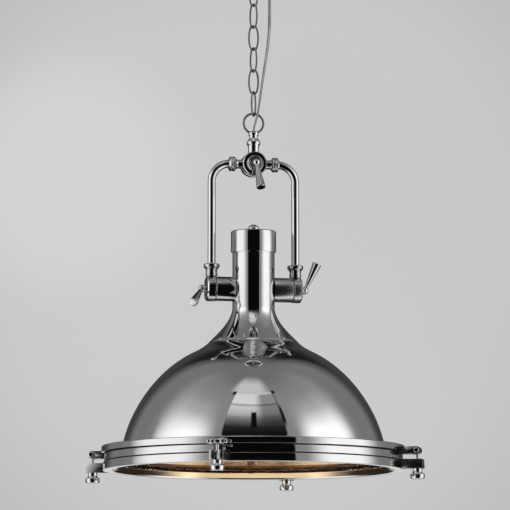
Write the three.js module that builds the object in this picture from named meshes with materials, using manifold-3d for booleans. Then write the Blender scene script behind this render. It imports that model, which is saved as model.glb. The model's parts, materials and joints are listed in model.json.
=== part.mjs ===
import * as THREE from 'three';
import { mergeVertices } from 'three/addons/utils/BufferGeometryUtils.js';
import Module from 'manifold-3d';

const wasm = await Module();
wasm.setup();

// All sizes are in millimetres. The origin is on the ceiling and the light hangs down from it.

// Fits and facets shared by all pieces
const gap = 0.3;
const overrun = 1;
const mergeStep = 0.0001;
const rimSides = 48;
const bowlSides = 32;
const turnedSides = 24;
const smallSides = 12;
const wireSides = 8;
const arcSteps = 4;

// Heights from piece to piece down the light
const canopyDepth = 42;
const chainPitch = 30;
const ringToHub = 55.8;
const hubToPivot = 169;
const pivotToRim = 242;

// Ceiling bracket
const bracketEndMargin = 6;
const bracketWidth = 24;
const bracketThickness = 3;
const bracketSlotLength = 14;
const bracketSlotWidth = 5;
const bracketSlotSpacing = 70;
const bossRadius = 9;
const bossLength = 16;
const stubEngagement = 10;

// Canopy
const canopyRadius = 60;
const canopyWall = 1.5;
const canopyShoulder = 10;

// Hanging loop under the canopy
const stubRadius = 5;
const loopCollarRadius = 11;
const loopCollarHeight = 7;
const loopRadius = 11.5;
const loopWireRadius = 1.75;
const loopSink = 1.5;
const loopTurnDeg = -70;

// Bush where the cord leaves the canopy
const bushFlangeRadius = 6;
const bushFlangeThickness = 2;
const bushSleeveRadius = 4.2;
const bushTipRadius = 3.3;
const bushTipLength = 18;
const bushInsideLength = 4;

// Terminal block inside the canopy
const terminalLength = 14;
const terminalWidth = 16;
const terminalHeight = 14;
const terminalOffset = 19;
const terminalBoreRadius = 1.8;
const terminalBoreCount = 2;
const terminalBoreSpacing = 6.6;

// Chain links, each turned as it hangs in the photograph
const linkWireRadius = 1.25;
const linkGap = 0.4;
const linkWidth = 15.2;
const linkEndRadius = 4.7;
const linkTurnsDeg = [20, -55, 0, -60, 0, 55];
const linkEndSteps = 5;
const linkSideSteps = 3;

// Ring and stem on top of the swivel
const ringRadius = 13.4;
const ringWireRadius = 1.5;
const stemBeadRadius = 9.2;
const stemHeight = 45;
const stemBoreRadius = 2.7;
const stemBoreDepth = 14;

// Swivel hub between stem and bail
const hubRadius = 16.5;
const hubHalfDepth = 16;
const hubStepDepth = 4.6;
const hubStepRadius = 13.2;
const hubNoseRadius = 9.6;
const socketRadius = 10;
const socketReach = 34.2;
const socketBoreDepth = 10;

// Bail tubes
const bailTubeRadius = 5.3;
const bailTubeWall = 1.5;
const bailBendRadius = 24;
const bailHalfWidth = 57;
const bailTubeInset = 9.6;
const bailBendSteps = 7;
const bailSides = 12;

// End blocks and their collars at the foot of the bail
const blockInnerFace = 52.9;
const blockLength = 11.7;
const blockRadius = 17;
const blockBevel = 1.6;
const spigotRadius = 8;
const spigotLength = 12;
const collarRadius = 10.6;
const collarTop = 34;
const collarBoreDepth = 14;

// Clamp levers, alike on the hub and on both end blocks
const screwRadius = 2.4;
const leverWasherRadius = 5.6;
const leverWasherHeight = 1.2;
const leverBallRadius = 4.9;
const leverLength = 40;
const leverRootRadius = 2.2;
const leverTipRadius = 6.1;
const leverLeanDeg = 24.7;
const hubLeverTurnDeg = -85.4;
const rightLeverTurnDeg = 180;
const leftLeverTurnDeg = -128.3;

// Column casting with its flared neck and side sleeves
const columnRadius = 28.2;
const columnWall = 3;
const sleeveRadius = 16.4;
const sleeveBoreDepth = 14;
const wireBoreRadius = 4.5;
const flareTopAboveRim = 218;
const seamAboveRim = 169.6;
const seamRadius = 61;
const seamSeat = 7;
const flareSteps = 6;

// Cap, tie rod and cap nut
const capRadius = 30.3;
const capTopAbovePivot = 78.4;
const capHeight = 29.7;
const capThickness = 2.4;
const capTopRoom = 12;
const capEdge = 1.2;
const tieRodRadius = 5;
const capNutRadius = 7.5;
const capNutHeight = 9;
const capNutStraight = 3;
const capNutEngagement = 6;

// Dome and its rolled rim
const domeWall = 1.5;
const domeFlangeWidth = 27.5;
const domeHoleRadius = 44;
const domeFillet = 2;
const shoulderSteps = 3;
const domeSideSteps = 7;
const hemRadius = 202;
const hemWidth = 6;
const hemHeight = 9;
const hemShoulder = 3;
const hemSteps = 2;
const rimTop = 31.5;

// Rim band under the rolled rim
const bandStepIn = 3.7;
const bandHeight = 10.1;
const bandWall = 3;
const bandWidth = 12.3;

// Gasket, lens ring, glass and its retaining ring
const gasketThickness = 1.7;
const gasketInset = 1;
const lensRingStepIn = 2;
const lensRingWidth = 18.3;
const lensRingHeight = 9.1;
const lensLipThickness = 5.5;
const glassSeatWidth = 8.7;
const glassThickness = 5.2;
const glassEdgeGap = 0.6;
const retainerWidth = 2.6;
const retainerThickness = 1.2;
const retainerTabCount = 9;
const retainerTabWidth = 8;
const retainerTabReach = 7;

// Four swing bolt clamps round the rim
const clampCount = 4;
const clampTurnDeg = -23;
const clampReach = 18.5;
const clampPivotHeight = 23.8;
const lugWidth = 17.7;
const earHeight = 10;
const eyeThickness = 8;
const eyeRadius = 4.6;
const eyeClearance = 1.9;
const pinRadius = 2.2;
const pinHeadRadius = 3.7;
const pinHeadThickness = 4.2;
const boltRadius = 2;
const lowerLugHeight = 12.4;
const lowerLugReach = 8.3;
const lowerLugEdge = 1.5;
const boltSlotWidth = 5;
const lugSink = 2;
const nutHeight = 13.2;
const nutNeckRadius = 6.5;
const nutFootRadius = 9.65;

// Lampholder and bulb
const holderRadius = 20;
const holderLength = 46;
const holderBottomAboveRim = 192;
const holderMouthRadius = 13.6;
const holderMouthDepth = 32;
const holderThreadDepth = 8;
const bulbCapRadius = 13.1;
const bulbCapLength = 26;
const bulbRadius = 30;
const bulbGlassLength = 78;
const bulbNeckRadius = 12.4;
const bulbWall = 1;
const bulbTopGap = 3;

// Cord from the bush to the stem
const cordRadius = 2;
const cordExit = [21, -4.5];

// Places worked out from the sizes
const bracketLength = bracketSlotSpacing + bracketSlotLength + 2 * bracketEndMargin;
const domeBaseRadius = hemRadius - domeFlangeWidth;
const bandRadius = hemRadius - bandStepIn;
const bandInnerRadius = bandRadius - bandWidth;
const gasketOuterRadius = bandRadius - gasketInset;
const lensRingRadius = hemRadius - lensRingStepIn;
const lensRingLipRadius = lensRingRadius - lensRingWidth;
const glassRadius = lensRingLipRadius + glassSeatWidth;
const clampRadius = hemRadius + clampReach;
const collarBottom = -(canopyDepth + gap + loopCollarHeight);
const loopCentre = collarBottom + loopSink - loopRadius - loopWireRadius;
const hookHeight = loopCentre - loopRadius;
const linkHalf = (chainPitch + 2 * linkWireRadius + linkGap) / 2;
const firstLinkTop = hookHeight + loopWireRadius + gap + linkWireRadius;
const firstLinkCentre = firstLinkTop - linkHalf;
const lampHook = firstLinkCentre - linkHalf - (linkTurnsDeg.length - 1) * chainPitch;
const ringCentre = lampHook + linkWireRadius + gap + ringWireRadius - ringRadius;
const hubHeight = ringCentre - ringToHub;
const pivotHeight = hubHeight - hubToPivot;
const rimHeight = pivotHeight - pivotToRim;
const capTopAboveRim = pivotToRim + capTopAbovePivot;
const capBottomAboveRim = capTopAboveRim - capHeight;
const columnTopAboveRim = capTopAboveRim - capThickness - capTopRoom;
const boltBoreRadius = boltRadius + gap;
const hemBottom = rimTop - hemHeight;
const gasketBottom = lensRingHeight + gap;
const bandBottom = gasketBottom + gasketThickness + gap;
const bandTop = bandBottom + bandHeight;
const flangeUnderside = rimTop - domeWall;
const glassBottom = lensLipThickness + gap;
const nutTop = -(clampPivotHeight + gap);
const boltEnd = nutTop - nutHeight;

// Outlines as shares of the piece that carries them: radius share, then height share
const stemShares = [
  [0.57, 1],
  [0.72, 0.97],
  [0.78, 0.93],
  [0.72, 0.88],
  [0.61, 0.845],
  [0.65, 0.79],
  [0.85, 0.72],
  [1, 0.675],
  [1, 0.615],
  [0.86, 0.57],
  [0.8, 0.53],
  [0.78, 0.44],
  [0.83, 0.35],
];
const socketShares = [
  [0.64, 0.36],
  [0.64, 0.55],
  [0.76, 0.58],
  [0.76, 0.67],
  [0.64, 0.71],
  [0.66, 0.76],
  [0.82, 0.79],
  [1, 0.85],
  [1, 0.91],
  [0.88, 0.94],
  [0.7, 1],
];
const collarShares = [
  [0.6, 0.5],
  [0.7, 0.56],
  [0.72, 0.62],
  [0.63, 0.68],
  [0.64, 0.77],
  [0.76, 0.85],
  [0.97, 0.91],
  [1, 0.95],
  [0.9, 1],
];
const leverTipShares = [
  [1, -0.5],
  [0.97, 0.2],
  [0.75, 0.68],
  [0.4, 0.93],
  [0, 1],
];
const nutNeckShares = [
  [1.02, 0],
  [0.95, 0.15],
  [0.95, 0.34],
  [1.12, 0.47],
];
const nutFootShares = [
  [0.96, 0.53],
  [1, 0.6],
  [1, 0.88],
  [0.92, 1],
];
const flareBendShares = [
  [0.543, 0.298],
  [0, 0.649],
];
const domeBendShares = [
  [0.062, 0.951],
  [0.132, 0.924],
  [0.212, 0.891],
  [0.617, 0.715],
  [0.917, 0.3375],
];
const bulbShares = [
  [0.44, 0.97],
  [0.52, 0.87],
  [0.72, 0.73],
  [0.93, 0.56],
  [1, 0.4],
  [0.95, 0.24],
  [0.78, 0.11],
  [0.52, 0.03],
  [0.2, 0.003],
];
const bulbCapShares = [
  [0.95, 0],
  [1, 0.06],
  [0.93, 0.16],
  [1, 0.26],
  [0.93, 0.36],
  [1, 0.46],
  [0.93, 0.56],
  [1, 0.66],
  [0.9, 0.76],
  [0.5, 0.92],
  [0.3, 0.93],
  [0.28, 1],
];

// Materials
function finish(color, roughness, metalness) {
  return new THREE.MeshStandardMaterial({ color, roughness, metalness });
}
const chrome = finish(0xd8dadc, 0.08, 1);
const zinc = finish(0x9a9da0, 0.45, 0.9);
const rubber = finish(0x141414, 0.8, 0);
const clearGlass = finish(0xeef3f2, 0.05, 0);
const opalGlass = finish(0xfff4dd, 0.3, 0);
const porcelain = finish(0xf1efe8, 0.3, 0);
const brass = finish(0xc9a25a, 0.3, 1);
const nylon = finish(0xdedcd4, 0.5, 0);
const clearCord = finish(0xb5b6b4, 0.25, 0.2);

// A curve through given stations, swept station by station
class Route extends THREE.Curve {
  constructor(stations, closed = false) {
    super();
    this.stations = stations;
    this.closed = closed;
  }

  station(index) {
    const count = this.stations.length;
    if (this.closed) return this.stations[(index + count) % count];
    return this.stations[THREE.MathUtils.clamp(index, 0, count - 1)];
  }

  indexAt(u) {
    return Math.round(u * (this.closed ? this.stations.length : this.stations.length - 1));
  }

  getPoint(t, target = new THREE.Vector3()) {
    return target.copy(this.station(this.indexAt(t)));
  }

  getPointAt(u, target) {
    return this.getPoint(u, target);
  }

  getTangentAt(u, target = new THREE.Vector3()) {
    const index = this.indexAt(u);
    const here = this.station(index);
    const before = here.clone().sub(this.station(index - 1)).normalize();
    const after = this.station(index + 1).clone().sub(here).normalize();
    return target.copy(before).add(after).normalize();
  }
}

// Merged vertices, no empty triangles, faces pointing out
function closedMesh(geometry) {
  const bare = geometry.index ? geometry.toNonIndexed() : geometry.clone();
  for (const name of Object.keys(bare.attributes)) {
    if (name !== 'position') bare.deleteAttribute(name);
  }
  const merged = mergeVertices(bare, mergeStep);
  const corners = merged.index.array;
  const position = merged.attributes.position;
  const [a, b, c] = [new THREE.Vector3(), new THREE.Vector3(), new THREE.Vector3()];
  const kept = [];
  let volume = 0;
  for (let i = 0; i < corners.length; i += 3) {
    const [p, q, r] = corners.slice(i, i + 3);
    if (p === q || q === r || r === p) continue;
    kept.push([p, q, r]);
    a.fromBufferAttribute(position, p);
    b.fromBufferAttribute(position, q);
    c.fromBufferAttribute(position, r);
    volume += a.dot(b.cross(c));
  }
  merged.setIndex(kept.flatMap(([p, q, r]) => (volume < 0 ? [p, r, q] : [p, q, r])));
  return merged;
}

function solidOf(geometry) {
  const mesh = closedMesh(geometry);
  const vertProperties = new Float32Array(mesh.attributes.position.array);
  const triVerts = new Uint32Array(mesh.index.array);
  return new wasm.Manifold(new wasm.Mesh({ numProp: 3, vertProperties, triVerts }));
}

function geometryOf(solid) {
  const { vertProperties, triVerts } = solid.getMesh();
  const geometry = new THREE.BufferGeometry();
  geometry.setAttribute('position', new THREE.BufferAttribute(vertProperties, 3));
  geometry.setIndex(new THREE.BufferAttribute(triVerts, 1));
  return geometry;
}

function join(...geometries) {
  return geometryOf(geometries.map(solidOf).reduce((whole, more) => whole.add(more)));
}

function cut(geometry, ...tools) {
  return geometryOf(tools.map(solidOf).reduce((left, tool) => left.subtract(tool), solidOf(geometry)));
}

// A turned piece from its outline of radius and height
function turned(outline, sides = turnedSides) {
  const points = outline.map(([radius, height]) => new THREE.Vector2(radius, height));
  const open = points[0].x === 0 && points.at(-1).x === 0;
  if (!open) points.push(points[0].clone());
  return new THREE.LatheGeometry(points, sides).rotateX(Math.PI / 2);
}

function rod(radius, bottom, top, sides = smallSides) {
  const outline = [
    [0, bottom],
    [radius, bottom],
    [radius, top],
    [0, top],
  ];
  return turned(outline, sides);
}

function hoop(inner, outer, bottom, top, sides = rimSides) {
  const outline = [
    [inner, bottom],
    [outer, bottom],
    [outer, top],
    [inner, top],
  ];
  return turned(outline, sides);
}

function block(low, high) {
  const [x0, y0, z0] = low;
  const [x1, y1, z1] = high;
  const box = new THREE.BoxGeometry(x1 - x0, y1 - y0, z1 - z0);
  return box.translate((x0 + x1) / 2, (y0 + y1) / 2, (z0 + z1) / 2);
}

function scaled(shares, radius, height) {
  return shares.map(([r, h]) => [r * radius, h * height]);
}

function arc(centre, radius, fromDeg, toDeg, steps = arcSteps) {
  const points = [];
  for (let i = 0; i <= steps; i += 1) {
    const angle = THREE.MathUtils.degToRad(fromDeg + ((toDeg - fromDeg) * i) / steps);
    points.push([centre[0] + radius * Math.cos(angle), centre[1] + radius * Math.sin(angle)]);
  }
  return points;
}

function bezier(points, steps) {
  const curve = new THREE.CubicBezierCurve(...points.map(([x, y]) => new THREE.Vector2(x, y)));
  return curve.getPoints(steps).map((p) => [p.x, p.y]);
}

// A line beside another, to its right as it is drawn
function beside(line, distance) {
  return line.map(([x, y], i) => {
    const [xa, ya] = line[Math.max(i - 1, 0)];
    const [xb, yb] = line[Math.min(i + 1, line.length - 1)];
    const length = Math.hypot(xb - xa, yb - ya);
    return [x + (distance * (yb - ya)) / length, y - (distance * (xb - xa)) / length];
  });
}

function disc(radius, sides) {
  const corners = [];
  for (let i = 0; i < sides; i += 1) {
    const angle = (2 * Math.PI * i) / sides;
    corners.push(new THREE.Vector2(radius * Math.cos(angle), radius * Math.sin(angle)));
  }
  return corners;
}

// A tube along a route, hollow where a wall is given
function sweep(stations, radius, sides, wall = 0) {
  const section = new THREE.Shape(disc(radius, sides));
  if (wall > 0) section.holes.push(new THREE.Path(disc(radius - wall, sides)));
  const extrudePath = new Route(stations);
  const steps = stations.length - 1;
  return new THREE.ExtrudeGeometry(section, { steps, extrudePath, bevelEnabled: false });
}

// Turning pieces made about +Z so that +Z points another way
function facingFront(geometry) {
  return geometry.rotateX(Math.PI / 2);
}

function facingSide(geometry, side) {
  return geometry.rotateY((side * Math.PI) / 2);
}

function piece(parent, name, geometry, material) {
  const mesh = new THREE.Mesh(closedMesh(geometry), material);
  mesh.name = name;
  parent.add(mesh);
  return mesh;
}

function groupAt(parent, height) {
  const group = new THREE.Group();
  group.position.z = height;
  parent.add(group);
  return group;
}

const light = new THREE.Group();

// Ceiling bracket, solid at its middle so that it can rest flat on the ceiling
function ceilingBracket() {
  const strap = block(
    [-bracketLength / 2, -bracketWidth / 2, -bracketThickness],
    [bracketLength / 2, bracketWidth / 2, 0],
  );
  const boss = rod(bossRadius, -bracketThickness - bossLength, -bracketThickness / 2, turnedSides);
  const bottom = -bracketThickness - bossLength;
  const bore = rod(stubRadius + gap, bottom - overrun, bottom + stubEngagement + gap);
  const slots = [-1, 1].map((side) =>
    block(
      [(side * bracketSlotSpacing - bracketSlotLength) / 2, -bracketSlotWidth / 2, -bracketThickness - overrun],
      [(side * bracketSlotSpacing + bracketSlotLength) / 2, bracketSlotWidth / 2, overrun],
    ),
  );
  return cut(join(strap, boss), bore, ...slots);
}

// Canopy with a rounded bottom edge, a middle hole and a hole for the cord bush
function canopy() {
  const hole = stubRadius + gap;
  const centre = [canopyRadius - canopyShoulder, canopyShoulder - canopyDepth];
  const outline = [
    [hole, -canopyDepth],
    ...arc(centre, canopyShoulder, -90, 0),
    [canopyRadius, -gap],
    [canopyRadius - canopyWall, -gap],
    ...arc(centre, canopyShoulder - canopyWall, 0, -90),
    [hole, canopyWall - canopyDepth],
  ];
  const cordHole = rod(bushSleeveRadius + gap, -canopyDepth - overrun, canopyWall - canopyDepth + overrun);
  return cut(turned(outline, bowlSides), cordHole.translate(...cordExit, 0));
}

// Collar, threaded stub and closed ring that carries the chain
function hangingLoop() {
  const top = -canopyDepth - gap;
  const stubTop = stubEngagement - bracketThickness - bossLength;
  const collar = turned([
    [0, collarBottom],
    [loopCollarRadius * 0.45, collarBottom],
    [loopCollarRadius * 0.8, collarBottom + loopCollarHeight * 0.35],
    [loopCollarRadius, collarBottom + loopCollarHeight * 0.75],
    [loopCollarRadius, top],
    [stubRadius, top],
    [stubRadius, stubTop],
    [0, stubTop],
  ]);
  const ring = new THREE.TorusGeometry(loopRadius, loopWireRadius, wireSides, turnedSides);
  ring.rotateX(Math.PI / 2).rotateZ(THREE.MathUtils.degToRad(loopTurnDeg)).translate(0, 0, loopCentre);
  return join(collar, ring);
}

// Bush with a flange under the canopy, a sleeve through it and a tapered tip
function cordBush() {
  const bore = cordRadius + gap;
  const floor = -canopyDepth - gap;
  const outline = [
    [bore, floor - bushFlangeThickness - bushTipLength],
    [bushTipRadius, floor - bushFlangeThickness - bushTipLength],
    [bushSleeveRadius, floor - bushFlangeThickness],
    [bushFlangeRadius, floor - bushFlangeThickness],
    [bushFlangeRadius, floor],
    [bushSleeveRadius, floor],
    [bushSleeveRadius, canopyWall - canopyDepth + bushInsideLength],
    [bore, canopyWall - canopyDepth + bushInsideLength],
  ];
  return turned(outline, smallSides).translate(...cordExit, 0);
}

function terminalBlock() {
  const top = -bracketThickness - gap;
  const body = block(
    [-terminalOffset - terminalLength / 2, -terminalWidth / 2, top - terminalHeight],
    [-terminalOffset + terminalLength / 2, terminalWidth / 2, top],
  );
  const bores = [];
  for (let i = 0; i < terminalBoreCount; i += 1) {
    const x = -terminalOffset + (i - (terminalBoreCount - 1) / 2) * terminalBoreSpacing;
    const bore = rod(terminalBoreRadius, -terminalWidth, terminalWidth, wireSides);
    bores.push(facingFront(bore).translate(x, 0, top - terminalHeight / 2));
  }
  return cut(body, ...bores);
}

const ceilingFitting = groupAt(light, 0);
piece(ceilingFitting, 'ceiling_bracket', ceilingBracket(), zinc);
piece(ceilingFitting, 'canopy', canopy(), chrome);
piece(ceilingFitting, 'hanging_loop', hangingLoop(), chrome);
piece(ceilingFitting, 'cord_bush', cordBush(), chrome);
piece(ceilingFitting, 'terminal_block', terminalBlock(), nylon);

// An oval link: two round ends joined by two long, slightly bowed sides
function chainLink() {
  const halfLength = linkHalf;
  const halfWidth = linkWidth / 2 - linkWireRadius;
  const straight = halfLength - linkEndRadius;
  const sideRadius = (straight ** 2 / (halfWidth - linkEndRadius) + linkEndRadius + halfWidth) / 2;
  const sweepDeg = THREE.MathUtils.radToDeg(Math.atan2(straight, sideRadius - halfWidth));
  const end = arc([0, straight], linkEndRadius, sweepDeg, 180 - sweepDeg, linkEndSteps);
  const left = arc([sideRadius - halfWidth, 0], sideRadius, 180 - sweepDeg, 180 + sweepDeg, linkSideSteps);
  const half = [...end, ...left.slice(1, -1)];
  const other = half.map(([x, z]) => [-x, -z]);
  const stations = [...half, ...other].map(([x, z]) => new THREE.Vector3(x, 0, z));
  return new THREE.TubeGeometry(new Route(stations, true), stations.length, linkWireRadius, wireSides, true);
}

linkTurnsDeg.forEach((turnDeg, i) => {
  const link = piece(light, `chain_link_${i + 1}`, chainLink(), chrome);
  link.position.z = firstLinkCentre - i * chainPitch;
  link.rotation.z = THREE.MathUtils.degToRad(turnDeg);
});

// The cord hangs beside the chain, passes in front of the ring and goes down into the stem
const cordStart = -canopyDepth - gap - bushFlangeThickness - bushTipLength - gap;
const cordEnd = hubHeight + stemHeight - stemBoreDepth + gap;
const cordPoints = [
  [21, -4.5, -75],
  [21.1, -4.5, -92],
  [21.2, -4.5, -109],
  [21, -4.5, -126],
  [20.1, -4.5, -142],
  [18.5, -4.5, -158],
  [16.3, -4.5, -174],
  [13.7, -4.5, -190],
  [11.2, -4.5, -206],
  [8.9, -4.5, -222],
  [7, -4.5, -236],
  [5.3, -4.3, -247],
  [3.4, -3.2, -256],
  [1.3, -1.3, -265],
  [0.2, -0.2, -272],
];

function cord() {
  const stations = [
    new THREE.Vector3(...cordExit, cordStart),
    ...cordPoints.map((p) => new THREE.Vector3(...p)),
    new THREE.Vector3(0, 0, cordEnd),
  ];
  return sweep(stations, cordRadius, wireSides);
}

piece(light, 'cord', cord(), clearCord);

const hub = groupAt(light, hubHeight);

// Ring and turned stem in one casting, saddled on the hub barrel and bored for the cord
function ringAndStem() {
  const outline = [[0, stemHeight], ...scaled(stemShares, stemBeadRadius, stemHeight)];
  outline.push([outline.at(-1)[0], 0], [0, 0]);
  const ring = new THREE.TorusGeometry(ringRadius, ringWireRadius, wireSides, turnedSides);
  ring.rotateX(Math.PI / 2).translate(0, 0, ringToHub);
  const bore = rod(stemBoreRadius, stemHeight - stemBoreDepth, stemHeight + ringWireRadius + overrun);
  const barrel = rod(hubRadius + gap, -2 * hubRadius, 2 * hubRadius, turnedSides);
  return cut(join(turned(outline), ring), bore, facingFront(barrel));
}

// Front half of the hub barrel with a stepped round face
function hubFront() {
  const shoulder = hubHalfDepth - hubStepDepth;
  const edge = hubStepDepth / 5;
  return facingFront(
    turned([
      [screwRadius + gap, gap / 2],
      [hubRadius, gap / 2],
      [hubRadius, shoulder - edge],
      [hubRadius - edge, shoulder],
      [hubStepRadius, shoulder],
      [hubStepRadius, hubHalfDepth - hubStepDepth / 2 - edge],
      [hubStepRadius - edge, hubHalfDepth - hubStepDepth / 2],
      [hubNoseRadius, hubHalfDepth - hubStepDepth / 2],
      [hubNoseRadius, hubHalfDepth - edge],
      [hubNoseRadius - edge, hubHalfDepth],
      [screwRadius + gap, hubHalfDepth],
    ]),
  );
}

// Rear half of the hub barrel with the two side sockets of the bail
function hubRear() {
  const barrel = facingFront(
    turned([
      [0, -hubHalfDepth],
      [hubRadius * 0.6, -hubHalfDepth],
      [hubRadius * 0.9, hubStepDepth / 2 - hubHalfDepth],
      [hubRadius, hubStepDepth - hubHalfDepth],
      [hubRadius, -gap / 2],
      [0, -gap / 2],
    ]),
  );
  const outline = [[0, 0], [socketShares[0][0] * socketRadius, 0]];
  outline.push(...scaled(socketShares, socketRadius, socketReach), [0, socketReach]);
  const sockets = [-1, 1].map((side) => facingSide(turned(outline, smallSides), side));
  const bores = [-1, 1].map((side) =>
    facingSide(rod(bailTubeRadius + gap, socketReach - socketBoreDepth, socketReach + overrun), side),
  );
  const frontRoom = rod(hubRadius + gap, -gap / 2, 2 * hubRadius, turnedSides);
  const screwBore = rod(screwRadius + gap, gap - hubHalfDepth + hubStepDepth / 2, overrun);
  return cut(join(barrel, ...sockets), facingFront(frontRoom), facingFront(screwBore), ...bores);
}

// A clamp lever: screw, washer and ball with a tapered handle leaning away from the face
function clampLever(screwLength, turnDeg) {
  const lean = THREE.MathUtils.degToRad(leverLeanDeg);
  const ballHeight = gap + leverWasherHeight + leverBallRadius * 0.8;
  const tipHeight = leverTipRadius * 0.8;
  const tip = scaled(leverTipShares, leverTipRadius, tipHeight).map(([r, h]) => [
    r,
    h + leverLength - tipHeight,
  ]);
  const handle = turned([[0, 0], [leverRootRadius, 0], ...tip], smallSides);
  handle.rotateY(Math.PI / 2 - lean).translate(0, 0, ballHeight);
  const ball = new THREE.SphereGeometry(leverBallRadius, smallSides, wireSides);
  ball.translate(0, 0, ballHeight);
  const washer = rod(leverWasherRadius, gap, gap + leverWasherHeight, smallSides);
  const screw = rod(screwRadius, -screwLength, gap + leverWasherHeight + leverBallRadius / 2);
  return join(screw, washer, ball, handle).rotateZ(THREE.MathUtils.degToRad(turnDeg));
}

const hubScrewLength = 2 * hubHalfDepth - hubStepDepth / 2 - 2 * gap;
const hubLever = clampLever(hubScrewLength, hubLeverTurnDeg).translate(0, 0, hubHalfDepth);
piece(hub, 'ring_and_stem', ringAndStem(), chrome);
piece(hub, 'hub_front', hubFront(), chrome);
piece(hub, 'hub_rear', hubRear(), chrome);
piece(hub, 'hub_lever', facingFront(hubLever), chrome);

// Bent tube from the hub socket round and down to the end block
function bailTube(side) {
  const bendStart = bailHalfWidth - bailBendRadius;
  const start = socketReach - bailTubeInset;
  const footHeight = collarTop - collarBoreDepth + gap - hubToPivot;
  const bend = arc([bendStart, -bailBendRadius], bailBendRadius, 90, 0, bailBendSteps);
  const line = [[start, 0], ...bend, [bailHalfWidth, footHeight]];
  const stations = line.map(([x, z]) => new THREE.Vector3(side * x, 0, z));
  return sweep(stations, bailTubeRadius, bailSides, bailTubeWall);
}

// End block with its collar, and a spigot that turns in the column's sleeve
function endBlock(side) {
  const end = blockInnerFace + blockLength;
  const body = turned([
    [0, blockInnerFace - spigotLength],
    [spigotRadius, blockInnerFace - spigotLength],
    [spigotRadius, blockInnerFace],
    [blockRadius, blockInnerFace],
    [blockRadius, end - blockBevel],
    [blockRadius - blockBevel, end],
    [0, end],
  ]);
  const outline = scaled(collarShares, collarRadius, collarTop);
  const collar = turned([[0, 0], [outline[0][0], 0], ...outline, [0, collarTop]], smallSides);
  const sleeveRoom = rod(sleeveRadius + 2 * gap, 0, blockInnerFace, turnedSides);
  const tubeBore = rod(bailTubeRadius + gap, collarTop - collarBoreDepth, collarTop + overrun);
  const screwBore = rod(screwRadius + gap, blockInnerFace - spigotLength + gap, end + overrun);
  const trimmed = cut(collar.translate(side * bailHalfWidth, 0, 0), facingSide(sleeveRoom, side));
  const whole = join(facingSide(body, side), trimmed);
  return cut(whole, tubeBore.translate(side * bailHalfWidth, 0, 0), facingSide(screwBore, side));
}

const pivot = groupAt(light, pivotHeight);
const sideScrewLength = blockLength + spigotLength - 2 * gap;
const sides = [
  ['left', -1, leftLeverTurnDeg],
  ['right', 1, rightLeverTurnDeg],
];
for (const [word, side, turnDeg] of sides) {
  const lever = clampLever(sideScrewLength, turnDeg).translate(0, 0, blockInnerFace + blockLength);
  piece(hub, `bail_tube_${word}`, bailTube(side), chrome);
  piece(pivot, `end_block_${word}`, endBlock(side), chrome);
  piece(pivot, `side_lever_${word}`, facingSide(lever, side), chrome);
}

// The head hangs from the pivot, and its heights are counted up from the rim
const head = groupAt(light, rimHeight);

function flare(footRadius, topRadius) {
  const height = flareTopAboveRim - seamAboveRim;
  const bends = flareBendShares.map(([r, h]) => [
    topRadius + r * (footRadius - topRadius),
    seamAboveRim + h * height,
  ]);
  const line = [[footRadius, seamAboveRim], ...bends, [topRadius, flareTopAboveRim]];
  return bezier(line, flareSteps);
}

// Hollow column that flares into the dome, with a sleeve for each spigot
function columnCasting() {
  const bore = columnRadius - columnWall;
  const outline = [
    ...flare(seamRadius, columnRadius),
    [columnRadius, columnTopAboveRim],
    [bore, columnTopAboveRim],
    ...flare(seamRadius - seamSeat, bore).reverse(),
  ];
  const sleeveEnd = blockInnerFace - gap;
  const lift = (geometry) => geometry.translate(0, 0, pivotToRim);
  const sleeves = lift(facingSide(rod(sleeveRadius, -sleeveEnd, sleeveEnd, turnedSides), 1));
  const inside = rod(bore, seamAboveRim, columnTopAboveRim + overrun, bowlSides);
  const wireBore = lift(facingSide(rod(wireBoreRadius, -sleeveEnd, sleeveEnd), 1));
  const spigotBores = [-1, 1].map((side) =>
    lift(facingSide(rod(spigotRadius + gap, sleeveEnd - sleeveBoreDepth, sleeveEnd + overrun), side)),
  );
  return cut(join(turned(outline, bowlSides), sleeves), inside, wireBore, ...spigotBores);
}

function columnCap() {
  const bore = columnRadius + gap;
  const hole = tieRodRadius + gap;
  const underTop = capTopAboveRim - capThickness;
  return turned(
    [
      [capRadius, capBottomAboveRim],
      [capRadius, capTopAboveRim - capEdge],
      [capRadius - capEdge, capTopAboveRim],
      [hole, capTopAboveRim],
      [hole, underTop],
      [bore, underTop],
      [bore, capBottomAboveRim],
    ],
    bowlSides,
  );
}

function capNut() {
  const bottom = capTopAboveRim + gap;
  const top = [];
  for (let i = 0; i <= arcSteps; i += 1) {
    const angle = (Math.PI / 2) * (i / arcSteps);
    const rise = (capNutHeight - capNutStraight) * Math.sin(angle);
    top.push([capNutRadius * Math.cos(angle), bottom + capNutStraight + rise]);
  }
  top[arcSteps][0] = 0;
  return turned([
    [0, bottom + capNutEngagement],
    [tieRodRadius + gap, bottom + capNutEngagement],
    [tieRodRadius + gap, bottom],
    [capNutRadius, bottom],
    ...top,
  ]);
}

const holderTop = holderBottomAboveRim + holderLength;
const tieRodTop = capTopAboveRim + capNutEngagement;
const tieRodBottom = holderTop - holderThreadDepth + gap;
piece(head, 'column', columnCasting(), chrome);
piece(head, 'column_cap', columnCap(), chrome);
piece(head, 'tie_rod', rod(tieRodRadius, tieRodBottom, tieRodTop), zinc);
piece(head, 'cap_nut', capNut(), chrome);

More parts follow.
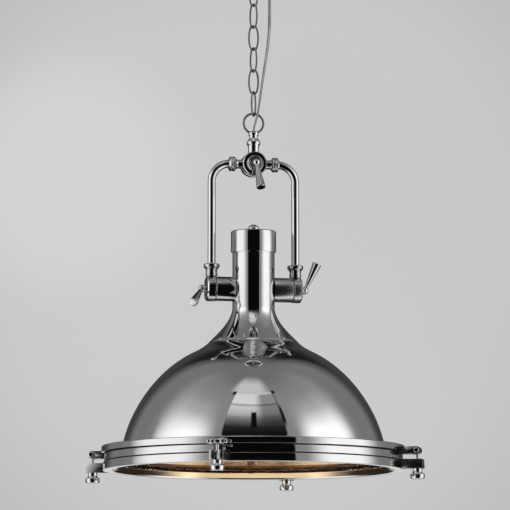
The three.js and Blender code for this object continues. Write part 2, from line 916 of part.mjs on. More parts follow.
// Spun dome: seat under the neck, concave shoulder, round side, flat flange and rolled rim
function dome() {
  const top = seamAboveRim - gap;
  const width = domeBaseRadius - seamRadius;
  const height = top - rimTop;
  const at = ([r, h]) => [seamRadius + r * width, rimTop + h * height];
  const bends = domeBendShares.map(at);
  const shoulder = bezier([[seamRadius, top], ...bends.slice(0, 3)], shoulderSteps);
  const side = bezier([bends[2], ...bends.slice(3), [domeBaseRadius, rimTop]], domeSideSteps);
  const outer = [...shoulder, ...side.slice(1, -1)];
  const inner = beside(outer, domeWall).reverse();
  return turned(
    [
      [domeHoleRadius, top],
      ...outer,
      [domeBaseRadius + domeFillet, rimTop],
      [hemRadius - hemShoulder, rimTop],
      ...arc([hemRadius - hemShoulder, rimTop - hemShoulder], hemShoulder, 90, 0, hemSteps).slice(1),
      [hemRadius, hemBottom],
      [hemRadius - hemWidth, hemBottom],
      [hemRadius - hemWidth, flangeUnderside],
      [domeBaseRadius - domeWall, flangeUnderside],
      ...inner.slice(0, -1),
      [domeHoleRadius, top - domeWall],
    ],
    rimSides,
  );
}

function aroundRim(geometry, index) {
  const turn = THREE.MathUtils.degToRad(clampTurnDeg) + (2 * Math.PI * index) / clampCount;
  return geometry.rotateZ(turn);
}

function fourAround(make) {
  return Array.from({ length: clampCount }, (_, i) => aroundRim(make(), i));
}

// Forked ear that holds a pivot pin, rounded at its outer end
function forkedEar() {
  const root = bandRadius - lugSink;
  const half = lugWidth / 2;
  const bar = block(
    [root, -half, clampPivotHeight - earHeight / 2],
    [clampRadius, half, clampPivotHeight + earHeight / 2],
  );
  const nose = facingFront(rod(earHeight / 2, -half, half, smallSides));
  const eyeRoom = eyeThickness / 2 + gap;
  const slot = block(
    [clampRadius - eyeRadius - eyeClearance, -eyeRoom, 0],
    [clampRadius + earHeight, eyeRoom, 2 * clampPivotHeight],
  );
  const pinBore = facingFront(rod(pinRadius + gap, -lugWidth, lugWidth));
  const place = [clampRadius, 0, clampPivotHeight];
  return cut(join(bar, nose.translate(...place)), slot, pinBore.translate(...place));
}

// Channel-shaped band that steps in under the rolled rim and carries the four ears
function rimBand() {
  const neck = hemRadius - hemWidth - gap;
  const top = flangeUnderside - gap;
  const band = turned(
    [
      [bandInnerRadius, bandBottom],
      [bandRadius, bandBottom],
      [bandRadius, bandTop],
      [neck, bandTop],
      [neck, top],
      [bandInnerRadius, top],
      [bandInnerRadius, top - bandWall],
      [neck - bandWall, top - bandWall],
      [neck - bandWall, bandBottom + bandWall],
      [bandInnerRadius, bandBottom + bandWall],
    ],
    rimSides,
  );
  const hemRoom = hoop(neck, hemRadius + gap, hemBottom - gap, rimTop + gap);
  const ears = fourAround(forkedEar).map((ear) => cut(ear, hemRoom));
  return join(band, ...ears);
}

// Slotted lug that the bolt swings into, with a chamfered lower edge at its tip
function slottedLug() {
  const root = lensRingRadius - lugSink;
  const tip = clampRadius + lowerLugReach;
  const outline = new THREE.Shape([
    new THREE.Vector2(root, 0),
    new THREE.Vector2(tip - lowerLugEdge / 2, 0),
    new THREE.Vector2(tip, lowerLugEdge),
    new THREE.Vector2(tip - lowerLugEdge / 2, lowerLugHeight),
    new THREE.Vector2(root, lowerLugHeight),
  ]);
  const lug = new THREE.ExtrudeGeometry(outline, { depth: lugWidth, bevelEnabled: false });
  lug.translate(0, 0, -lugWidth / 2).rotateX(Math.PI / 2);
  const slotEnd = rod(boltSlotWidth / 2, -overrun, lowerLugHeight + overrun);
  const slot = block(
    [clampRadius, -boltSlotWidth / 2, -overrun],
    [tip + overrun, boltSlotWidth / 2, lowerLugHeight + overrun],
  );
  return cut(lug, slotEnd.translate(clampRadius, 0, 0), slot);
}

// Lens ring with an inner lip for the glass and four slotted lugs
function lensRing() {
  const ledge = glassRadius + glassEdgeGap;
  const ring = turned(
    [
      [lensRingLipRadius, 0],
      [lensRingRadius, 0],
      [lensRingRadius, lensRingHeight],
      [ledge, lensRingHeight],
      [ledge, lensLipThickness],
      [lensRingLipRadius, lensLipThickness],
    ],
    rimSides,
  );
  const bandRoom = hoop(ledge, bandRadius + gap, lensRingHeight, lowerLugHeight + overrun);
  const lugs = fourAround(slottedLug).map((lug) => cut(lug, bandRoom));
  return join(ring, ...lugs);
}

// Thin ring with tabs that press on the glass from inside
function lensRetainer() {
  const outer = bandInnerRadius - gap;
  const inner = outer - retainerWidth;
  const bottom = glassBottom + glassThickness + gap;
  const top = bottom + retainerThickness;
  const tabs = [];
  for (let i = 0; i < retainerTabCount; i += 1) {
    const tab = block(
      [inner - retainerTabReach, -retainerTabWidth / 2, bottom],
      [inner + retainerWidth / 2, retainerTabWidth / 2, top],
    );
    tabs.push(tab.rotateZ((2 * Math.PI * i) / retainerTabCount));
  }
  return join(hoop(inner, outer, bottom, top), ...tabs);
}

const gasketInner = glassRadius + glassEdgeGap + gap;
const gasket = hoop(gasketInner, gasketOuterRadius, gasketBottom, gasketBottom + gasketThickness);
const glass = rod(glassRadius, glassBottom, glassBottom + glassThickness, rimSides);
piece(head, 'dome', dome(), chrome);
piece(head, 'rim_band', rimBand(), chrome);
piece(head, 'gasket', gasket, rubber);
piece(head, 'lens_ring', lensRing(), chrome);
piece(head, 'lens_glass', glass, clearGlass);
piece(head, 'lens_retainer', lensRetainer(), zinc);

// Pivot pin with a round head at each end
function pivotPin() {
  const inner = lugWidth / 2 + gap;
  const outer = inner + pinHeadThickness;
  const bevel = pinHeadRadius / 4;
  return facingFront(
    turned(
      [
        [0, -outer],
        [pinHeadRadius - bevel, -outer],
        [pinHeadRadius, bevel - outer],
        [pinHeadRadius, -inner],
        [pinRadius, -inner],
        [pinRadius, inner],
        [pinHeadRadius, inner],
        [pinHeadRadius, outer - bevel],
        [pinHeadRadius - bevel, outer],
        [0, outer],
      ],
      smallSides,
    ),
  );
}

function eyeBolt() {
  const eye = facingFront(rod(eyeRadius, -eyeThickness / 2, eyeThickness / 2));
  const shank = rod(boltRadius, boltEnd, 0);
  return cut(join(eye, shank), facingFront(rod(pinRadius + gap, -lugWidth, lugWidth)));
}

// Thumb nut with a waisted neck and a broad foot
function thumbNut() {
  const down = ([r, h]) => [r, nutTop - h];
  const neck = scaled(nutNeckShares, nutNeckRadius, nutHeight).map(down);
  const foot = scaled(nutFootShares, nutFootRadius, nutHeight).map(down);
  return turned([[boltBoreRadius, nutTop], ...neck, ...foot, [boltBoreRadius, boltEnd]], smallSides);
}

for (let i = 0; i < clampCount; i += 1) {
  const clampPieces = [
    ['pivot_pin', pivotPin(), zinc],
    ['eye_bolt', eyeBolt(), chrome],
    ['thumb_nut', thumbNut(), chrome],
  ];
  for (const [word, geometry, material] of clampPieces) {
    const placed = aroundRim(geometry.translate(clampRadius, 0, clampPivotHeight), i);
    piece(head, `${word}_${i + 1}`, placed, material);
  }
}

function lampholder() {
  const mouth = holderBottomAboveRim + holderMouthDepth;
  return turned([
    [holderMouthRadius, holderBottomAboveRim],
    [holderRadius, holderBottomAboveRim],
    [holderRadius, holderTop - holderRadius / 4],
    [holderRadius * 0.75, holderTop],
    [tieRodRadius + gap, holderTop],
    [tieRodRadius + gap, holderTop - holderThreadDepth],
    [0, holderTop - holderThreadDepth],
    [0, mouth],
    [holderMouthRadius, mouth],
  ]);
}

// Glass envelope, open inside the bulb cap
function bulbGlass() {
  const bottom = holderBottomAboveRim + bulbTopGap - gap - bulbGlassLength;
  const top = bottom + bulbGlassLength;
  const outline = scaled(bulbShares, bulbRadius, bulbGlassLength).map(([r, h]) => [r, bottom + h]);
  const outer = [[bulbNeckRadius, top], ...outline, [0, bottom]];
  const inner = beside(outer, bulbWall).reverse();
  inner[0] = [0, bottom + bulbWall];
  return turned([...outer, ...inner], smallSides);
}

function bulbCap() {
  const bottom = holderBottomAboveRim + bulbTopGap;
  const outline = scaled(bulbCapShares, bulbCapRadius, bulbCapLength).map(([r, h]) => [r, bottom + h]);
  return turned([[0, bottom], ...outline, [0, bottom + bulbCapLength]], smallSides);
}

piece(head, 'lampholder', lampholder(), porcelain);
piece(head, 'bulb_glass', bulbGlass(), opalGlass);
piece(head, 'bulb_cap', bulbCap(), brass);

export default light;
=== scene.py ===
import json
import math

import bmesh
import bpy
from mathutils import Matrix, Vector


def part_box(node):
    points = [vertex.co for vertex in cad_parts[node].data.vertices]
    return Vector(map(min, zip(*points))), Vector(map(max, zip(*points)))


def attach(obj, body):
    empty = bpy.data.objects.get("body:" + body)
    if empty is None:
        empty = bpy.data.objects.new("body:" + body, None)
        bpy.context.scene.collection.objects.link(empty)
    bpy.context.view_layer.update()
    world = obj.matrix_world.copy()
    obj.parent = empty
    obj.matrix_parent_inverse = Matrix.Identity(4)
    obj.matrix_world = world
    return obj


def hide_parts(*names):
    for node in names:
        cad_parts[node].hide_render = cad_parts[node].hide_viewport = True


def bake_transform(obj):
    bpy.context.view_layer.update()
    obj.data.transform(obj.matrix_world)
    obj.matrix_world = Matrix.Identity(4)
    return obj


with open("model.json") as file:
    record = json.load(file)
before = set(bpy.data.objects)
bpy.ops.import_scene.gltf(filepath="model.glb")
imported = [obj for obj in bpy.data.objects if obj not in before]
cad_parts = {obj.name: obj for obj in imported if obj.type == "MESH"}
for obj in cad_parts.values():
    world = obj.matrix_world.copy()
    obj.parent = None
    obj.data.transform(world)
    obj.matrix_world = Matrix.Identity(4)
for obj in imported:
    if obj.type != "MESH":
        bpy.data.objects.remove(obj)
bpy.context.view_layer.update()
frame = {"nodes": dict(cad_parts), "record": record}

BODY_OF = {node: body for body, nodes in frame["record"]["behaviour"]["bodies"].items() for node in nodes}

MM = 0.001
TINY = 1e-9

# Heights in metres. The rim's foot comes from the frame, and the others are measured up from it.
PIVOT_ABOVE_RIM = 242 * MM
HUB_ABOVE_PIVOT = 169 * MM
RING_ABOVE_HUB = 55.8 * MM
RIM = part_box("lens_ring")[0][2]
PIVOT = RIM + PIVOT_ABOVE_RIM
HUB = PIVOT + HUB_ABOVE_PIVOT
RING = HUB + RING_ABOVE_HUB

# Chain links, numbered from the top. Their turns about the vertical are in degrees.
WIRE_RADIUS = 1.25 * MM
LINK_LOW, LINK_HIGH = (corner[2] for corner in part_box("chain_link_1"))
LINK_HALF = (LINK_HIGH - LINK_LOW) / 2 - WIRE_RADIUS
FIRST_LINK = (LINK_HIGH + LINK_LOW) / 2
LINK_PITCH = FIRST_LINK - sum(corner[2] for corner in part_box("chain_link_2")) / 2
LINK_TURNS = (20, -55, 0, -60, 0, 55)

# The loop under the canopy, which carries the chain
LOOP_CENTRE = -61.05 * MM
LOOP_RADIUS = 11.5 * MM
LOOP_WIRE_RADIUS = 1.75 * MM

# Clamps, evenly spread round the rim from the first one's turn in degrees
CLAMP_COUNT = 4
CLAMP_TURN = -23
CLAMP_RADIUS = 220.5 * MM
CLAMP_HEIGHT = RIM + 23.8 * MM


# Camera, at the place that the photograph was taken from
PHOTO_HALF_PIXELS = 255
FOCAL_PIXELS = 3488
CAMERA_DISTANCE = 4.63
CAMERA_BELOW_RIM = 0.3
AIM_RIGHT = 2 * MM
AIM_UP = math.radians(7.246)
VIEW_TURN = math.radians(-11)
VIEW_RIGHT = Vector((math.cos(VIEW_TURN), math.sin(VIEW_TURN), 0))
VIEW_TOWARD = Vector((math.sin(VIEW_TURN), -math.cos(VIEW_TURN), 0))


def linked(name, data):
    """A new object in the scene."""
    obj = bpy.data.objects.new(name, data)
    bpy.context.collection.objects.link(obj)
    return obj


def make_camera():
    data = bpy.data.cameras.new("camera")
    data.sensor_fit = "HORIZONTAL"
    data.lens_unit = "FOV"
    data.angle = 2 * math.atan(PHOTO_HALF_PIXELS / FOCAL_PIXELS)
    data.clip_end = 200
    camera = linked("camera", data)
    place = VIEW_TOWARD * CAMERA_DISTANCE
    place.z = RIM - CAMERA_BELOW_RIM
    aim = VIEW_RIGHT * AIM_RIGHT
    aim.z = place.z + CAMERA_DISTANCE * math.tan(AIM_UP)
    camera.location = place
    camera.rotation_euler = (aim - place).to_track_quat("-Z", "Y").to_euler()
    bpy.context.scene.camera = camera


make_camera()


# Materials
WAVE_DEPTH = 2 * MM
GRAIN_DEPTH = 0.2 * MM
GLASS_INDEX = 1.5


def grey(value):
    if isinstance(value, (int, float)):
        return (value, value, value, 1)
    return (*value, 1)


class Paint:
    """The node tree of a material or of the world, with short ways to fill it."""

    def __init__(self, owner):
        owner.use_nodes = True
        self.owner = owner
        self.nodes = owner.node_tree.nodes
        self.links = owner.node_tree.links

    def feed(self, socket, value):
        """Gives an input a number, a colour or the output of another node."""
        if isinstance(value, bpy.types.NodeSocket):
            self.links.new(value, socket)
        else:
            socket.default_value = value

    def set(self, name, value):
        self.feed(self.nodes["Principled BSDF"].inputs[name], value)

    def node(self, kind, output, inputs=None, **settings):
        """The output of a new node, whose inputs are given by their names or places."""
        node = self.nodes.new("ShaderNode" + kind)
        for name, value in settings.items():
            setattr(node, name, value)
        for name, value in (inputs or {}).items():
            self.feed(node.inputs[name], value)
        return node.outputs[output]

    def noise(self, scale, detail, roughness=0.5, stretch=(1, 1, 1)):
        place = self.node("Mapping", "Vector", {"Vector": self.node("TexCoord", "Object"), "Scale": stretch})
        inputs = {"Vector": place, "Scale": scale, "Detail": detail, "Roughness": roughness}
        return self.node("TexNoise", "Fac", inputs)

    def ramp(self, source, stops):
        colour = self.node("ValToRGB", "Color", {"Fac": source})
        elements = colour.node.color_ramp.elements
        elements.remove(elements[-1])
        elements[0].position = stops[0][0]
        elements[0].color = grey(stops[0][1])
        for position, value in stops[1:]:
            elements.new(position).color = grey(value)
        return colour

    def spread(self, source, low, high, start=0.35, stop=0.65, **settings):
        ends = {"From Min": start, "From Max": stop, "To Min": low, "To Max": high}
        return self.node("MapRange", "Result", {"Value": source, **ends}, **settings)

    def bump(self, height, strength, distance):
        inputs = {"Height": height, "Strength": strength, "Distance": distance}
        self.set("Normal", self.node("Bump", "Normal", inputs))


def metal(name, dark, light, smooth, rough, wave=0.0, grain=0.0, cloud=9.0):
    """Plated metal: faint clouds in colour and polish, fine wipe marks, and a slight waviness."""
    paint = Paint(bpy.data.materials.new(name))
    paint.set("Metallic", 1)
    paint.set("Base Color", paint.ramp(paint.noise(cloud, 4), [(0.3, dark), (0.7, light)]))
    paint.set("Roughness", paint.spread(paint.noise(60, 6, 0.7, (1, 1, 7)), smooth, rough))
    if wave:
        paint.bump(paint.noise(14, 1), wave, WAVE_DEPTH)
    if grain:
        paint.bump(paint.noise(900, 3, 0.6, (1, 1, 0.2)), grain, GRAIN_DEPTH)
    return paint.owner


CHROME = metal("chrome", (0.61, 0.61, 0.615), (0.66, 0.66, 0.665), 0.012, 0.035, wave=0.012)
CHROME_CAST = metal("chrome_cast", (0.60, 0.60, 0.61), (0.67, 0.67, 0.675), 0.018, 0.05, 0.02, cloud=24)
CHROME_CHAIN = metal("chrome_chain", (0.17, 0.167, 0.15), (0.29, 0.283, 0.262), 0.05, 0.15, cloud=160)
CHROME_LEVER = metal("lever_chrome", (0.46, 0.46, 0.46), (0.56, 0.56, 0.555), 0.05, 0.12, cloud=40)
# A darker copy of the chrome: painted shade, used on the hub's face and on the bail collars
SHADED_CHROME = metal("painted_shade_chrome", (0.36, 0.36, 0.36), (0.46, 0.46, 0.46), 0.02, 0.06, wave=0.02, cloud=24)
ZINC = metal("zinc", (0.50, 0.50, 0.49), (0.62, 0.62, 0.61), 0.28, 0.42, grain=0.3, cloud=70)
GOLD = metal("gold_lacquer", (0.80, 0.44, 0.14), (0.92, 0.58, 0.24), 0.14, 0.24, wave=0.03)
# The next three are painted light and shade inside the rim: the pale gold is painted light, the nearly black
# bronze is painted shadow and the brown gold is painted shade
LIT_GOLD = metal("painted_light_gold", (0.84, 0.61, 0.37), (0.92, 0.70, 0.46), 0.10, 0.2, wave=0.03)
SHADE_BRONZE = metal("dark_bronze_painted_shade", (0.022, 0.008, 0.005), (0.045, 0.015, 0.008), 0.2, 0.3)
SHADED_GOLD = metal("painted_shade_gold", (0.27, 0.15, 0.055), (0.40, 0.23, 0.09), 0.14, 0.26, wave=0.03)
CHROME_SATIN = metal("satin_chrome", (0.60, 0.60, 0.60), (0.68, 0.68, 0.675), 0.18, 0.28, cloud=60)
BRASS = metal("brass", (0.70, 0.50, 0.22), (0.80, 0.61, 0.32), 0.2, 0.34, cloud=90)


def plain(name, dark, light, rough, grain=0.15, coat=0.0):
    """Rubber, porcelain or plastic: faint clouds in colour, an uneven polish and a fine grain."""
    paint = Paint(bpy.data.materials.new(name))
    paint.set("Base Color", paint.ramp(paint.noise(60, 4), [(0.3, dark), (0.7, light)]))
    paint.set("Roughness", paint.spread(paint.noise(220, 4), rough * 0.8, rough * 1.2))
    paint.set("Coat Weight", coat)
    paint.bump(paint.noise(700, 3), grain, GRAIN_DEPTH)
    return paint.owner


RUBBER_AND_SHADOW = plain("rubber", (0.012, 0.012, 0.013), (0.022, 0.022, 0.023), 0.6)
PORCELAIN = plain("porcelain", (0.80, 0.78, 0.72), (0.86, 0.84, 0.79), 0.22, grain=0.03, coat=0.5)
NYLON = plain("nylon", (0.70, 0.69, 0.65), (0.78, 0.77, 0.73), 0.5)


def clear_glass():
    """Clear glass with a little dust, whose reflections fade where it is seen at a slant."""
    paint = Paint(bpy.data.materials.new("lens_glass"))
    dust = paint.noise(40, 5, 0.6)
    slant = paint.node("LayerWeight", "Facing", {"Blend": 0.5})
    paint.set("Transmission Weight", 1)
    paint.set("IOR", GLASS_INDEX)
    paint.set("Base Color", paint.ramp(dust, [(0.3, (0.95, 0.98, 0.96)), (0.75, 1.0)]))
    paint.set("Roughness", paint.spread(dust, 0, 0.01, 0.55, 0.8))
    paint.set("Alpha", paint.ramp(slant, [(0.7, 0.3), (0.92, 0.01)]))
    return paint.owner


def opal_glass():
    """White glass, lit from inside with a warm light."""
    paint = Paint(bpy.data.materials.new("opal_glass"))
    clouds = paint.noise(30, 3)
    paint.set("Base Color", paint.ramp(clouds, [(0.3, (0.86, 0.80, 0.68)), (0.7, (0.92, 0.87, 0.77))]))
    paint.set("Roughness", paint.spread(clouds, 0.12, 0.2))
    paint.set("Emission Color", (1.0, 0.78, 0.5, 1))
    paint.set("Emission Strength", 9)
    return paint.owner


def sheath():
    """Clear plastic over tinned and copper strands: silvery with a faint pink, and glossy."""
    paint = Paint(bpy.data.materials.new("clear_sheath"))
    clouds = paint.noise(120, 4, 0.6, (1, 1, 0.35))
    tones = [(0.32, (0.17, 0.165, 0.16)), (0.5, (0.27, 0.255, 0.25)), (0.68, (0.35, 0.305, 0.29))]
    paint.set("Base Color", paint.ramp(clouds, tones))
    paint.set("Metallic", 0.35)
    paint.set("Coat Weight", 0.8)
    paint.set("Coat Roughness", 0.08)
    paint.set("Roughness", paint.spread(clouds, 0.22, 0.36))
    return paint.owner


LENS = clear_glass()
OPAL = opal_glass()
SHEATH = sheath()


# Shapes
def mesh_from(bm, name):
    mesh = bpy.data.meshes.new(name)
    bm.to_mesh(mesh)
    bm.free()
    return mesh


def circle(sides):
    """The cosine and sine of each corner of a regular outline."""
    return [(math.cos(a), math.sin(a)) for a in (2 * math.pi * k / sides for k in range(sides))]


class Shell:
    """Closed shells gathered into one piece, each with its own material and place."""

    def __init__(self):
        self.bm = bmesh.new()
        self.materials = []

    def index(self, material):
        if material not in self.materials:
            self.materials.append(material)
        return self.materials.index(material)

    def turned(self, outline, material, sides, place=None, inner=None):
        """A turned shell about +Z. inner may name another material for the faces between two points."""
        place = place or Matrix.Identity(4)
        on_axis = outline[0][0] < TINY and outline[-1][0] < TINY
        rows = []
        for radius, height in outline:
            if radius < TINY:
                rows.append([self.bm.verts.new(place @ Vector((0, 0, height)))])
                continue
            corners = [Vector((radius * c, radius * s, height)) for c, s in circle(sides)]
            rows.append([self.bm.verts.new(place @ corner) for corner in corners])
        pairs = list(zip(rows, rows[1:]))
        if not on_axis:
            pairs.append((rows[-1], rows[0]))
        for k, (low, high) in enumerate(pairs):
            own = inner(outline[k], outline[(k + 1) % len(outline)]) if inner else None
            self.bridge(low, high, self.index(own or material))

    def bridge(self, low, high, slot):
        """Faces between two rows of corners, either of which may be a single point."""
        count = max(len(low), len(high))
        for i in range(count):
            j = (i + 1) % count
            corners = [low[i % len(low)], low[j % len(low)], high[j % len(high)], high[i % len(high)]]
            unique = list(dict.fromkeys(corners))
            if len(unique) > 2:
                face = self.bm.faces.new(unique)
                face.material_index = slot
                face.smooth = True

    def swept(self, stations, radius, material, sides, closed=False, place=None):
        """A tube along stations, whose radius may be a number or a function of the station's share."""
        place = place or Matrix.Identity(4)
        points = [Vector(p) for p in stations]
        count = len(points)
        rows = []
        up = None
        for i, here in enumerate(points):
            before = points[i - 1] if closed or i else here
            after = points[(i + 1) % count] if closed or i < count - 1 else here
            tangent = (after - before).normalized()
            if up is None:
                up = tangent.orthogonal().normalized()
            up = (up - tangent * up.dot(tangent)).normalized()
            side = tangent.cross(up)
            size = radius(i / (count - 1)) if callable(radius) else radius
            corners = [here + size * (c * up + s * side) for c, s in circle(sides)]
            rows.append([self.bm.verts.new(place @ corner) for corner in corners])
        self.skin(rows, material, closed)

    def skin(self, rows, material, closed=False):
        """Faces along rows of corners, which go round in a ring or have their ends capped."""
        slot = self.index(material)
        for low, high in zip(rows, rows[1:]):
            self.bridge(low, high, slot)
        first, last = rows[0], rows[-1]
        if closed:
            shift = min(range(len(first)), key=lambda s: (last[0].co - first[s].co).length)
            self.bridge(last, first[shift:] + first[:shift], slot)
            return
        for row in (first, last):
            face = self.bm.faces.new(row)
            face.material_index = slot

    def add(self, other, material, place):
        """A finished mesh, such as a bevelled block, copied in."""
        mesh = other.copy()
        mesh.transform(place)
        known = len(self.bm.faces)
        self.bm.from_mesh(mesh)
        self.bm.faces.ensure_lookup_table()
        slot = self.index(material)
        for face in self.bm.faces[known:]:
            face.material_index = slot
            face.smooth = True
        bpy.data.meshes.remove(mesh)

    def mesh(self, name):
        bmesh.ops.recalc_face_normals(self.bm, faces=self.bm.faces)
        return mesh_from(self.bm, name)

    def finished(self, name, sharp=32):
        """The scene object, with smooth faces but for edges sharper than the angle given."""
        mesh = self.mesh(name)
        for material in self.materials:
            mesh.materials.append(material)
        mesh.set_sharp_from_angle(angle=math.radians(sharp))
        return linked(name, mesh)

    def piece(self, name, node, sharp=32):
        """The finished piece, which stands for a node, with its body."""
        obj = self.finished(name, sharp)
        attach(obj, BODY_OF[node])
        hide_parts(node)


def turned_piece(name, node, outline, material, sides, place=None, inner=None, sharp=32):
    """A piece that is one turned shell."""
    shell = Shell()
    shell.turned(outline, material, sides, place, inner)
    shell.piece(name, node, sharp)


STRAIGHT = math.radians(165)


def soften(points, radius, steps=3, closed=False):
    """The same outline with its corners rounded."""
    count = len(points)
    result = []
    for i, here in enumerate(points):
        if not closed and i in (0, count - 1):
            result.append(here)
            continue
        a = Vector(points[i - 1]) - Vector(here)
        b = Vector(points[(i + 1) % count]) - Vector(here)
        angle = a.angle(b, STRAIGHT)
        if angle >= STRAIGHT:
            result.append(here)
            continue
        reach = min(radius / math.tan(angle / 2), 0.45 * a.length, 0.45 * b.length)
        start = Vector(here) + a.normalized() * reach
        end = Vector(here) + b.normalized() * reach
        for k in range(steps + 1):
            t = k / steps
            p = (1 - t) ** 2 * start + 2 * (1 - t) * t * Vector(here) + t * t * end
            result.append((p.x, p.y))
    return result


def mm(points, lift=0.0):
    """Points written in millimetres, in metres, lifted by a height in metres."""
    return [(x * MM, y * MM + lift) for x, y in points]


def rounded(points, radius, lift=0.0, steps=3):
    """The same with rounded corners. An outline that doesn't end on the axis is a closed one."""
    return mm(soften(points, radius, steps, closed=points[-1][0] > TINY), lift)


def rectangle(left, low, right, high):
    return [(left, low), (right, low), (right, high), (left, high)]


def bezier(p0, p1, p2, p3, steps):
    points = []
    for i in range(steps + 1):
        t = i / steps
        weights = ((1 - t) ** 3, 3 * (1 - t) ** 2 * t, 3 * (1 - t) * t * t, t**3)
        points.append(tuple(sum(w * p[k] for w, p in zip(weights, (p0, p1, p2, p3))) for k in (0, 1)))
    return points


def spline(points, steps):
    """Points close together on one smooth line through the points given."""
    line = []
    for i in range(len(points) - 1):
        a = points[max(i - 1, 0)]
        b, c = points[i], points[i + 1]
        d = points[min(i + 2, len(points) - 1)]
        square = 2 * a - 5 * b + 4 * c - d
        cube = 3 * b - a - 3 * c + d
        for t in (k / steps for k in range(steps)):
            line.append(0.5 * (2 * b + (c - a) * t + square * t * t + cube * t**3))
    return [*line, points[-1]]


def beside(line, distance):
    """The same line moved sideways."""
    result = []
    for i, (x, y) in enumerate(line):
        xa, ya = line[max(i - 1, 0)]
        xb, yb = line[min(i + 1, len(line) - 1)]
        length = math.hypot(xb - xa, yb - ya)
        result.append((x + distance * (yb - ya) / length, y - distance * (xb - xa) / length))
    return result


def arc(cx, cy, radius, start, stop, steps):
    """Points on an arc from one angle to another, in degrees."""
    points = []
    for i in range(steps + 1):
        a = math.radians(start + (stop - start) * i / steps)
        points.append((cx + radius * math.cos(a), cy + radius * math.sin(a)))
    return points


def at(x=0.0, y=0.0, z=0.0):
    return Matrix.Translation((x, y, z))


# Turns +Z towards the viewer
FRONT = Matrix.Rotation(math.pi / 2, 4, "X")


def side_on(side):
    """Turns +Z to the right for side 1 and to the left for side -1."""
    return Matrix.Rotation(side * math.pi / 2, 4, "Y")


def turn(degrees):
    return Matrix.Rotation(math.radians(degrees), 4, "Z")


def prism(outline, low, high):
    """A mesh with a flat outline in X and Z, from low to high in Y."""
    bm = bmesh.new()
    near = [bm.verts.new((x, low, z)) for x, z in outline]
    far = [bm.verts.new((x, high, z)) for x, z in outline]
    bm.faces.new(near)
    bm.faces.new(far[::-1])
    for i in range(len(outline)):
        j = (i + 1) % len(outline)
        bm.faces.new((near[i], far[i], far[j], near[j]))
    bmesh.ops.recalc_face_normals(bm, faces=bm.faces)
    return mesh_from(bm, "prism")


def carved(mesh, cutters, bevel, angle=40):
    """The mesh less the cutters, with its edges rounded."""
    objects = [linked("carving", data) for data in (mesh, *cutters)]
    main = objects[0]
    for tool in objects[1:]:
        modifier = main.modifiers.new("cut", "BOOLEAN")
        modifier.operation = "DIFFERENCE"
        modifier.solver = "EXACT"
        modifier.object = tool
    rounding = main.modifiers.new("round", "BEVEL")
    rounding.width = bevel
    rounding.segments = 2
    rounding.limit_method = "ANGLE"
    rounding.angle_limit = math.radians(angle)
    graph = bpy.context.evaluated_depsgraph_get()
    result = bpy.data.meshes.new_from_object(main.evaluated_get(graph))
    for obj in objects:
        data = obj.data
        bpy.data.objects.remove(obj)
        bpy.data.meshes.remove(data)
    return result


def cylinder_mesh(radius, low, high, place, sides):
    shell = Shell()
    shell.turned(rectangle(0, low, radius, high), CHROME, sides, place)
    return shell.mesh("cylinder")


# Cord, whose stations are in millimetres
CORD_STATIONS = [
    (21, -4.5, -62.6), (21, -4.5, -75), (21.1, -4.5, -92), (21.2, -4.5, -109), (21, -4.5, -126),
    (20.1, -4.5, -142), (18.5, -4.5, -158), (16.3, -4.5, -174), (13.7, -4.5, -190), (11.2, -4.5, -206),
    (8.9, -4.5, -222), (7, -4.5, -236), (5.3, -4.3, -247), (3.4, -3.2, -256), (1.3, -1.3, -265),
    (0.2, -0.2, -272), (0, 0, -287.0),
]
CORD_WIDTH = 4.5 * MM
CORD_THICKNESS = 2.5 * MM
CORD_PINCH_SHARE = 0.22
CORD_TURN_TOP, CORD_TURN_FOOT = -8, 66
# Heights at which one section of the cord ends and the next begins
CORD_CUTS = (-93 * MM, -123.2 * MM, -153.4 * MM, -183.6 * MM, -213.8 * MM, -244.2 * MM)


def cut_between(route, top, bottom):
    """The stretch of a falling route between two heights, with its ends exactly on them."""
    stretch = []
    for a, b in zip(route, route[1:]):
        for limit in (top, bottom):
            if a.z >= limit > b.z:
                stretch.append(a.lerp(b, (a.z - limit) / (a.z - b.z)))
        if top > b.z > bottom:
            stretch.append(b)
    if top > route[0].z:
        stretch.insert(0, route[0])
    return stretch


def cord_tube(points):
    """A flat tube with a groove on each side, whose width turns about the vertical on the way down."""
    top, foot = CORD_STATIONS[0][2] * MM, CORD_STATIONS[-3][2] * MM
    shell = Shell()
    rows = []
    for i, here in enumerate(points):
        share_down = min((top - here.z) / (top - foot), 1)
        way = math.radians(CORD_TURN_TOP + (CORD_TURN_FOOT - CORD_TURN_TOP) * share_down)
        swing = Vector((math.cos(way), math.sin(way), 0))
        tangent = (points[min(i + 1, len(points) - 1)] - points[max(i - 1, 0)]).normalized()
        across = (swing - tangent * swing.dot(tangent)).normalized() * CORD_WIDTH / 2
        through = tangent.cross(across.normalized()) * CORD_THICKNESS / 2
        corners = [here + c * across + s * (1 - CORD_PINCH_SHARE * s**8) * through for c, s in circle(20)]
        rows.append([shell.bm.verts.new(corner) for corner in corners])
    shell.skin(rows, SHEATH)
    return shell


def cord_section(number, points):
    """One section of the cord, made from its stretch of the route."""
    obj = cord_tube(points).finished(f"cord_section_{number}", sharp=60)
    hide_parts("cord")
    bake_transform(obj)


def make_cord():
    route = spline([Vector(p) * MM for p in CORD_STATIONS], 8)
    links = range(len(LINK_TURNS))
    hinges = [LOOP_CENTRE - LOOP_RADIUS] + [FIRST_LINK - LINK_HALF - LINK_PITCH * i for i in links]
    cuts = [math.inf, *CORD_CUTS, -math.inf]
    for i, hinge in enumerate(hinges):
        points = cut_between(route, cuts[i], cuts[i + 1])
        cord_section(i + 1, points)


make_cord()


